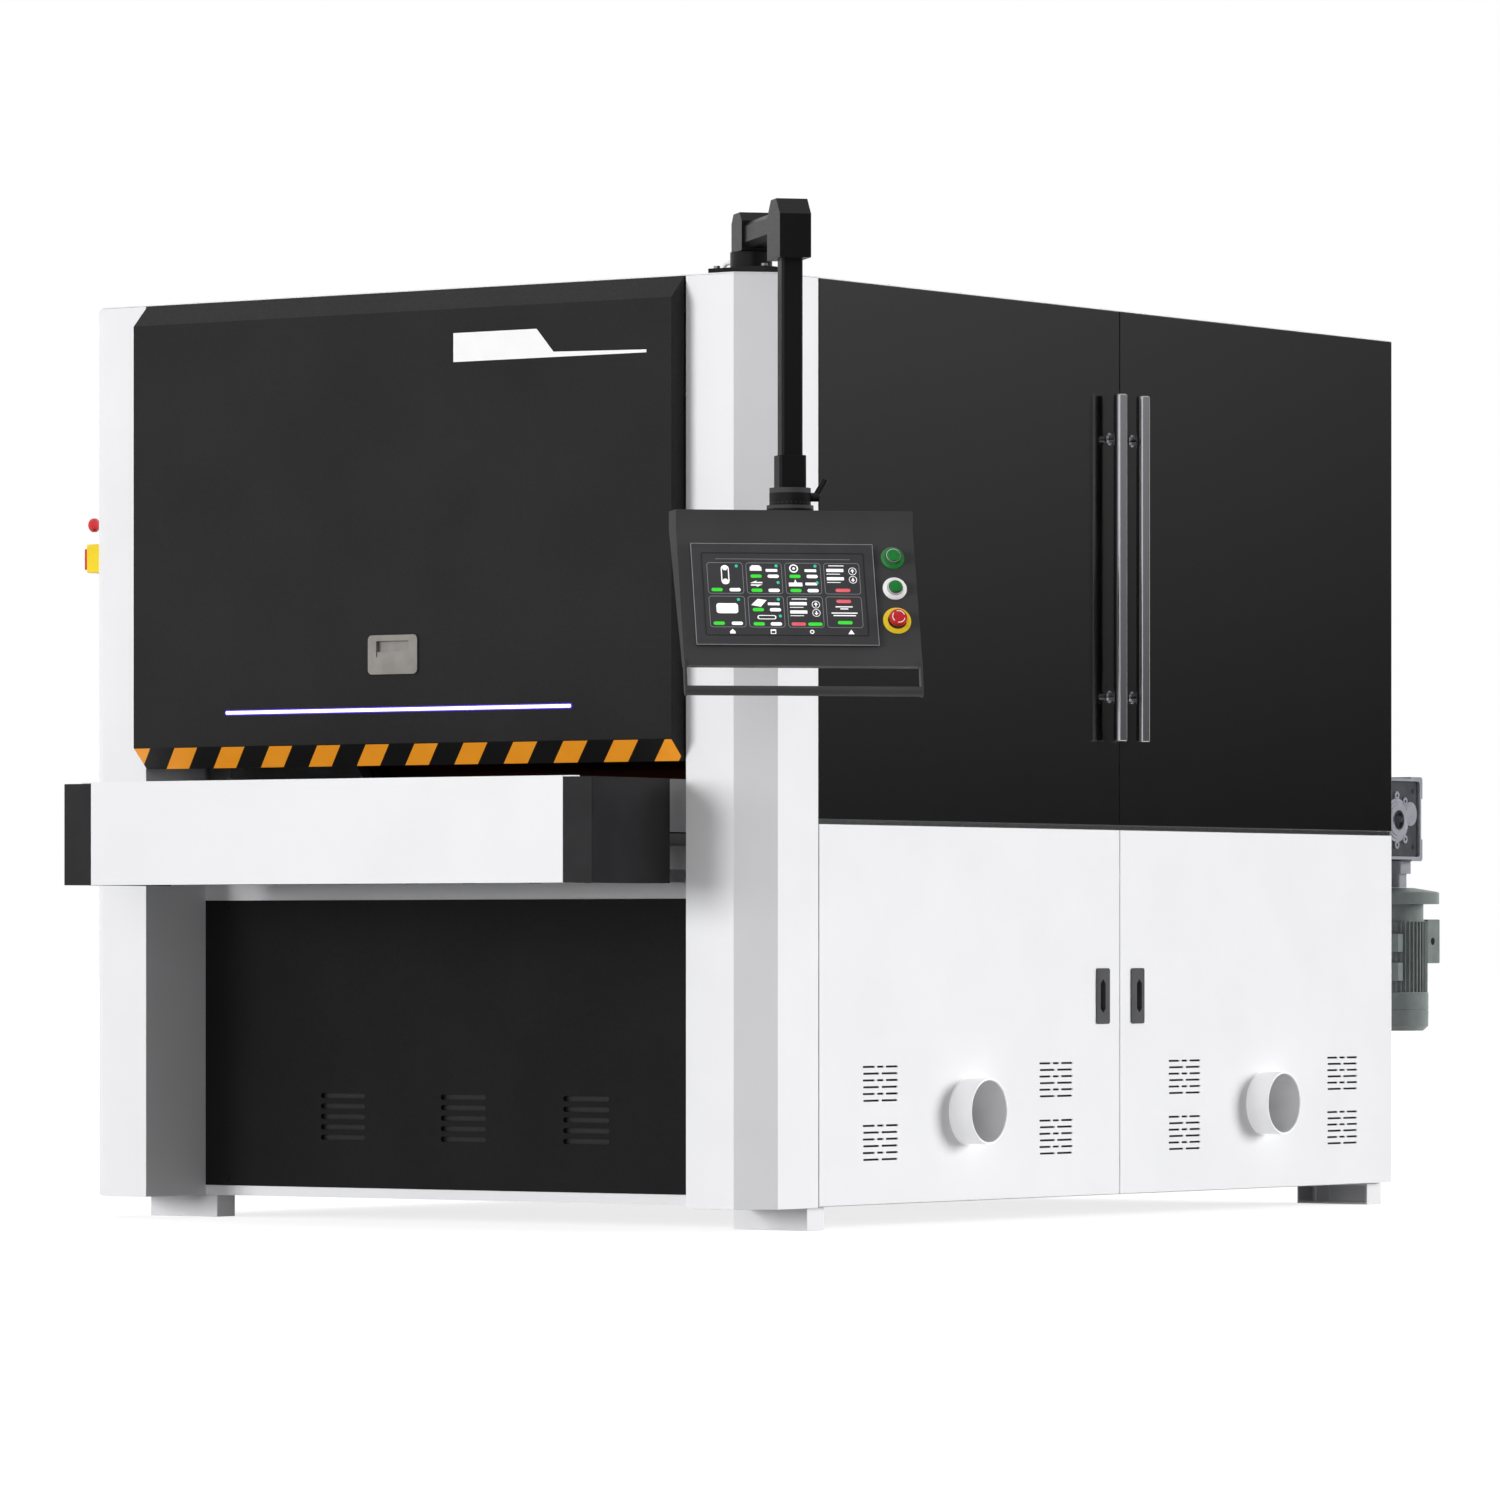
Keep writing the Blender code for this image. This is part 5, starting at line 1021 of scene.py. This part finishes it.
def console():
    """The console's housing, its collar on the pole, and the bezel of the screen, with a light line round the
    bezel that is a painted highlight.
    """
    eased_copies("panel_housing", CONSOLE_GREY, 0.0010)
    eased_copies("hmi_screen", SCREEN_GLASS, 0.0012)
    collar = turned([(1.6004, 0.0520), (1.6055, 0.0520), (1.6070, 0.0460), (1.6180, 0.0460), (1.6185, 0.0457),
                     (1.6200, 0.0457), (1.6205, 0.0460), (1.6400, 0.0460), (1.6480, 0.0400), (1.6516, 0.0390)],
                    "Z", (POLE.x, POLE.y))
    way = rod(1.59, 1.66, 0.0215, (POLE.x, POLE.y), "Z")
    finished("swivel_collar", carved(collar, cuts=[way]), ARM_BLACK, "panel")
    # A light ring round the bezel: painted highlight along its edge.
    edge = ring_of(rounded(0.4056, 0.2436, 0.0015), rounded(0.4026, 0.2406, 0.0010), "Z", -0.0012, 0.0004)
    finished("bezel_edge", moved(edge, SCREEN), BEZEL_HIGHLIGHT_GREY, "panel")
    rim = ring_of(rounded(0.362, 0.199, 0.004), rounded(0.358, 0.195, 0.003), "Z", 0.0001, 0.0006)
    finished("screen_rim", moved(rim, SCREEN), SLOT_BLACK, "panel", slot="")


def button_ring(name, down, outer, inner_radius, height, dome, material):
    """A ring round a button on the console's face."""
    half = (outer + inner_radius) / 2
    profile = [(outer, 0.0003), (outer, height * 0.35), (half, height * dome), (inner_radius, height),
               (inner_radius, 0.0003)]
    rings = [[(a, b, z) for a, b in circle((BUTTON_COLUMN, -down), radius)] for radius, z in profile]
    finished(name, moved(skinned(rings, capped=False), FACE), material, "panel")


def button_cap(name, node, down, profile, material):
    """The part of a button that moves, turned about its own axis."""
    cap = turned(profile, "Z", (BUTTON_COLUMN, -down), SMALL)
    finished(name, moved(cap, FACE), material, body_of(node), [node])


def arc(radius, begin, span):
    """Points along an arc round the emergency stop, with eight equal steps."""
    angles = [begin + span * i / 8 for i in range(9)]
    return [(BUTTON_COLUMN + radius * math.cos(a), -STOP_DOWN + radius * math.sin(a)) for a in angles]


def buttons():
    """Rings, collars and caps of the three buttons, and the turning marks on the emergency stop."""
    for values in (("start_ring", START_DOWN, 0.0262, 0.0175, 0.0040, 0.8, GREEN_RING),
                   ("start_collar", START_DOWN, 0.0173, 0.0146, 0.0150, 0.98, SILVER_RING),
                   ("feed_ring", FEED_DOWN, 0.0266, 0.0178, 0.0060, 0.75, BADGE),
                   ("feed_collar", FEED_DOWN, 0.0176, 0.0150, 0.0120, 0.98, SILVER_RING),
                   ("estop_ring", STOP_DOWN, 0.0312, 0.0208, 0.0040, 0.8, YELLOW_PLASTIC)):
        button_ring(*values)
    shank = [(-0.020, 0.0104), (0.006, 0.0104)]
    small = shank + [(0.0062, 0.0136), (0.0160, 0.0136), (0.0174, 0.0125), (0.0176, 0.0105), (0.0168, 0.0100),
                     (0.0168, 0.0010)]
    mushroom = shank + [(0.0062, 0.0150), (0.0090, 0.0160), (0.0140, 0.0196), (0.0190, 0.0200), (0.0225, 0.0185),
                        (0.0238, 0.0150), (0.0240, 0.0010)]
    button_cap("start_button_finish", "start_button", START_DOWN, small, GREEN_PLASTIC)
    button_cap("feed_button_finish", "feed_button", FEED_DOWN, small, GREEN_PLASTIC)
    button_cap("panel_estop_finish", "panel_estop_button", STOP_DOWN, mushroom, RED_PLASTIC)
    arcs = []
    for degrees in (20, 140, 260):
        begin, span = math.radians(degrees), math.radians(85)
        arcs.append(prism(arc(0.0148, begin, span) + arc(0.0128, begin, span)[::-1], "Z", 0.0236, 0.0243))
    finished("estop_turn_marks", moved(joined(arcs), FACE), BADGE, "panel_stop")


# ---- what the screen shows

def flat(outline):
    """A flat screen element; its coordinates are millimetres from the screen's middle."""
    return prism([(u / 1000, v / 1000) for u, v in outline], "Z", 0.0001, 0.0003)


def hollow(middle, wide, high, radius, line_wide, line_high, line_radius, drop=0.0):
    """A flat frame between two round-cornered outlines."""
    outer = rounded(wide, high, radius, middle)
    line = rounded(line_wide, line_high, line_radius, (middle[0], middle[1] - drop))
    return ring_of([(u / 1000, v / 1000) for u, v in outer], [(u / 1000, v / 1000) for u, v in line], "Z",
                   0.0001, 0.0003)


def bar(u, v, wide, high, radius):
    """A flat bar with rounded corners."""
    return flat(rounded(wide, high, radius, (u, v)))


def pill(u, v, wide=25.0, high=8.0):
    """A flat key with round ends."""
    return bar(u, v, wide, high, high * 0.49)


COLUMNS, ROWS = (-129.8, -43.3, 43.3, 129.8), (38.0, -42.5)      # the middles of the eight tiles


def tile_marks(cu, cv, outlines):
    """Flat marks drawn about the middle of a tile."""
    return [flat([(cu + a, cv + b) for a, b in outline]) for outline in outlines]


def gauge_tile(row, white, green, teal):
    """The first tile of a row: two keys, a lamp, and a gauge or a plain field."""
    cu, cv = COLUMNS[0], ROWS[row]
    green.append(pill(cu - 20, cv - 28))
    white.append(pill(cu + 20, cv - 28))
    teal.append(pill(cu + 26, cv + 29, 7, 7))
    if row == 0:
        white.extend([hollow((cu, cv + 8), 18, 46, 8.8, 13, 41, 6.4), pill(cu, cv - 8, 13, 13),
                      pill(cu, cv + 24, 11, 11)])
    else:
        white.append(bar(cu, cv + 8, 48, 24, 6))


def switch_tile(cu, cv, white, green, teal):
    """A tile with two rows of keys, a label and two lamps."""
    white.append(bar(cu + 17, cv + 19, 26, 6.5, 1))
    for v in (5, -29):
        green.append(pill(cu - 18, cv + v))
        white.append(pill(cu + 20, cv + v))
    teal.extend([pill(cu + 28, cv + 30, 7, 7), pill(cu + 30, cv - 10, 7, 7)])


def dial_tile(cu, cv, white):
    """A tile with two label lines and a round dial beside each, one that points up and one down."""
    for step, tip in ((20, 5.5), (0, -5.5)):
        u, v = cu + 24, cv + step - 2
        left, right, point = (u - 4.5, v), (u + 4.5, v), (u, v + tip)
        arrow = [left, point, right] if tip > 0 else [left, right, point]
        white.extend([bar(cu - 15, cv + step, 38, 7.5, 1), bar(cu - 19, cv + step - 9, 30, 1.6, 0.5),
                      hollow((u, v), 18, 18, 8.8, 15.4, 15.4, 7.5), flat(arrow), bar(u, v, 2.6, 9, 0.4)])


def screen_elements():
    """Generic tiles with frames, keys, lamps and simple marks, without any words."""
    white, green, teal = [], [], []
    lines = [hollow((cu, cv), 80, 75, 7, 77.4, 72.4, 5.8) for cu in COLUMNS for cv in ROWS]
    gauge_tile(0, white, green, teal)
    switch_tile(COLUMNS[1], ROWS[0], white, green, teal)
    switch_tile(COLUMNS[2], ROWS[0], white, green, teal)
    white += tile_marks(COLUMNS[1], ROWS[0], (
        [(-31, 18), (-5, 18), (-5, 26), (-10, 31), (-26, 31), (-31, 26)],
        [(-31, -11), (-18, -6), (-18, -9), (-5, -9), (-5, -12), (-31, -12)],
        [(-31, -15), (-5, -15), (-18, -21), (-18, -18), (-31, -18)]))
    cu, cv = COLUMNS[2], ROWS[0]
    white += [hollow((cu - 20, cv + 24), 20, 20, 9.8, 14, 14, 6.8), pill(cu - 20, cv + 24, 6, 6)]
    white += tile_marks(cu, cv, ([(-33, -19), (-3, -19), (-3, -10), (-15, -10), (-18, -2), (-21, -10),
                                  (-33, -10)],))
    white.append(bar(cu + 17, cv - 13, 26, 6.5, 1))
    gauge_tile(1, white, green, teal)
    switch_tile(COLUMNS[1], ROWS[1], white, green, teal)
    white += tile_marks(COLUMNS[1], ROWS[1], ([(-33, 16), (-18, 31), (2, 28), (-12, 12)],))
    white.append(hollow((COLUMNS[1], ROWS[1] - 13), 42, 10, 4.9, 37, 6.4, 3.1))
    dial_tile(COLUMNS[3], ROWS[0], white)
    dial_tile(COLUMNS[2], ROWS[1], white)
    white += [bar(cu - 12, cv + 31, 34, 2.0, 0.6) for cu, cv in ((COLUMNS[3], ROWS[0]), (COLUMNS[2], ROWS[1]))]
    white += [bar(COLUMNS[3], ROWS[1] + v, wide, 2.6, 0.8) for wide, v in ((38, 13), (18, 8), (58, -2), (50, -8))]
    red = [pill(COLUMNS[3], ROWS[0] - 28, 33), pill(COLUMNS[2] - 17, ROWS[1] - 29, 32),
           pill(COLUMNS[3], ROWS[1] + 26, 33)]
    green += [pill(COLUMNS[2] + 20, ROWS[1] - 29, 32), pill(COLUMNS[3], ROWS[1] - 25, 33)]
    white += tile_marks(-121, -90, ([(-6, -5), (6, -5), (6, 0), (0, 6), (-6, 0)],))
    white += tile_marks(142, -90, ([(-7, -5), (7, -5), (0, 6)],))
    white += [hollow((-31, -90), 12, 11, 1.5, 8.5, 6, 0.8, 1), hollow((55, -90), 10, 10, 4.9, 5.5, 5.5, 2.7)]
    lines.append(bar(0, 84, 300, 1.2, 0.5))
    for name, shapes, material in (("screen_lines", lines, TILE_LINE), ("screen_white_marks", white, TILE_WHITE),
                                   ("screen_green_keys", green, TILE_GREEN), ("screen_red_keys", red, TILE_RED),
                                   ("screen_teal_lamps", teal, TILE_TEAL)):
        finished(name, moved(joined(shapes), SCREEN), material, "panel")


# ---- CAD pieces that keep their shape

def carried_over():
    """Finishes for the CAD pieces; those that nothing replaces stay in view with them."""
    for entry in frame["record"]["subparts"]:
        mesh = frame["nodes"][entry["node"]].data
        mesh.materials.clear()
        mesh.materials.append(SLOTS[entry["material_slot"]][0])


# ---- studio

FULL_WHITE = (1.0, 1.0, 1.0, 1.0)


def seen_directly(tree):
    """One where the camera, a mirror or glass looks at a surface, and zero for the light it gives."""
    path = add(tree, "ShaderNodeLightPath")
    seen = add(tree, "ShaderNodeMath", {"operation": "MAXIMUM"},
               links={0: path.outputs["Is Camera Ray"], 1: path.outputs["Is Glossy Ray"]})
    return add(tree, "ShaderNodeMath", {"operation": "MAXIMUM"},
               links={0: seen, 1: path.outputs["Is Transmission Ray"]})


def lamp(name, towards, power, angle):
    """A soft sun; towards points from the machine to the lamp."""
    data = bpy.data.lights.new(name, "SUN")
    data.energy = power
    data.angle = math.radians(angle)
    item = bpy.data.objects.new(name, data)
    item.rotation_mode = "QUATERNION"
    item.rotation_quaternion = Vector(towards).to_track_quat("Z", "Y")
    item.visible_glossy = False
    bpy.context.collection.objects.link(item)


def bare_tree(owner):
    """The emptied node tree of a world or a material."""
    owner.use_nodes = True
    owner.node_tree.nodes.clear()
    return owner.node_tree


def stage_item(name, shape, material):
    """An object of the studio, which is no part of the machine."""
    mesh = bpy.data.meshes.new(name)
    shape.to_mesh(mesh)
    shape.free()
    mesh.materials.append(material)
    item = bpy.data.objects.new(name, mesh)
    bpy.context.collection.objects.link(item)
    return item


def studio():
    """A white world that lights softly but looks full white, and the lamps."""
    scene = bpy.context.scene
    scene.view_settings.view_transform = "Standard"
    scene.world = bpy.data.worlds.new("studio")
    tree = bare_tree(scene.world)
    soft = add(tree, "ShaderNodeBackground", values={"Color": FULL_WHITE, "Strength": 0.20})
    bright = add(tree, "ShaderNodeBackground", values={"Color": FULL_WHITE, "Strength": 1.0})
    mix = add(tree, "ShaderNodeMixShader",
              links={0: seen_directly(tree), 1: soft, 2: bright})
    add(tree, "ShaderNodeOutputWorld", links={"Surface": mix})
    lamp("left_front_lamp", (-0.42, -0.90, 0.12), 2.55, 22.0)
    lamp("right_lamp", (0.74, 0.66, 0.12), 4.3, 28.0)
    lamp("near_fill", (0.24, -0.96, 0.15), 0.50, 30.0)
    lamp("top_lamp", (-0.15, -0.30, 1.0), 0.6, 40.0)


def pale_floor():
    """Matt white floor that catches the shadow, and reads as white where nothing shades it."""
    shape = bmesh.new()
    bmesh.ops.create_grid(shape, x_segments=1, y_segments=1, size=120.0)
    bmesh.ops.translate(shape, vec=(0.0, 0.0, -0.0005), verts=shape.verts)
    material = bpy.data.materials.new("pale_floor")
    tree = bare_tree(material)
    matt = add(tree, "ShaderNodeBsdfDiffuse", values={"Color": (0.50, 0.50, 0.50, 1.0)})
    glow = add(tree, "ShaderNodeEmission", values={"Color": FULL_WHITE, "Strength": 0.80})
    both = add(tree, "ShaderNodeAddShader", links={0: matt, 1: glow})
    mix = add(tree, "ShaderNodeMixShader", links={0: seen_directly(tree), 1: matt, 2: both})
    add(tree, "ShaderNodeOutputMaterial", links={"Surface": mix})
    floor = stage_item("floor", shape, material)


def gloss_card():
    """A graded card beside the machine that only the glossy surfaces see: dark below, grey above."""
    shape = bmesh.new()
    corners = [Vector((3.2, y, z)) for y, z in ((-2.6, -1.5), (14.0, -1.5), (14.0, 4.5), (-2.6, 4.5))]
    shape.faces.new([shape.verts.new(corner + ORIGIN) for corner in corners])
    material = bpy.data.materials.new("graded_card")
    tree = bare_tree(material)
    place = add(tree, "ShaderNodeTexCoord").outputs["Object"]
    split = add(tree, "ShaderNodeSeparateXYZ", links={"Vector": place}).outputs
    rise = graded(tree, split["Z"], 0.9, 2.5, 0.08, 0.40)
    along = graded(tree, split["Y"], 2.0, 5.5, 1.0, 0.45)
    level = add(tree, "ShaderNodeMath", {"operation": "MULTIPLY"}, links={0: rise, 1: along})
    glow = add(tree, "ShaderNodeEmission", values={"Color": FULL_WHITE}, links={"Strength": level})
    add(tree, "ShaderNodeOutputMaterial", links={"Surface": glow})
    card = stage_item("graded_card", shape, material)
    for ray in ("camera", "diffuse", "shadow", "transmission", "volume_scatter"):
        setattr(card, "visible_" + ray, False)


def camera():
    """The camera of the reference view."""
    data = bpy.data.cameras.new("camera")
    data.sensor_width = 36.0
    data.lens = 202.8
    data.shift_y = 0.1321
    data.clip_end = 400.0
    item = bpy.data.objects.new("camera", data)
    item.location = Vector((11.9612, -15.3263, 0.6373)) + ORIGIN
    item.rotation_euler = (math.pi / 2, 0.0, math.radians(35.663))
    bpy.context.collection.objects.link(item)
    bpy.context.scene.camera = item


for left_over in [item for item in bpy.data.objects if item.type in ("CAMERA", "LIGHT")]:
    bpy.data.objects.remove(left_over)
for step in (camera, studio, pale_floor, gloss_card, carried_over, sheet_body, panel_screws, front_lower_panel,
             hood, latch, right_side, running_gear, gearbox, gear_motor, left_switches, swing_arm, console,
             buttons, screen_elements):
    step()
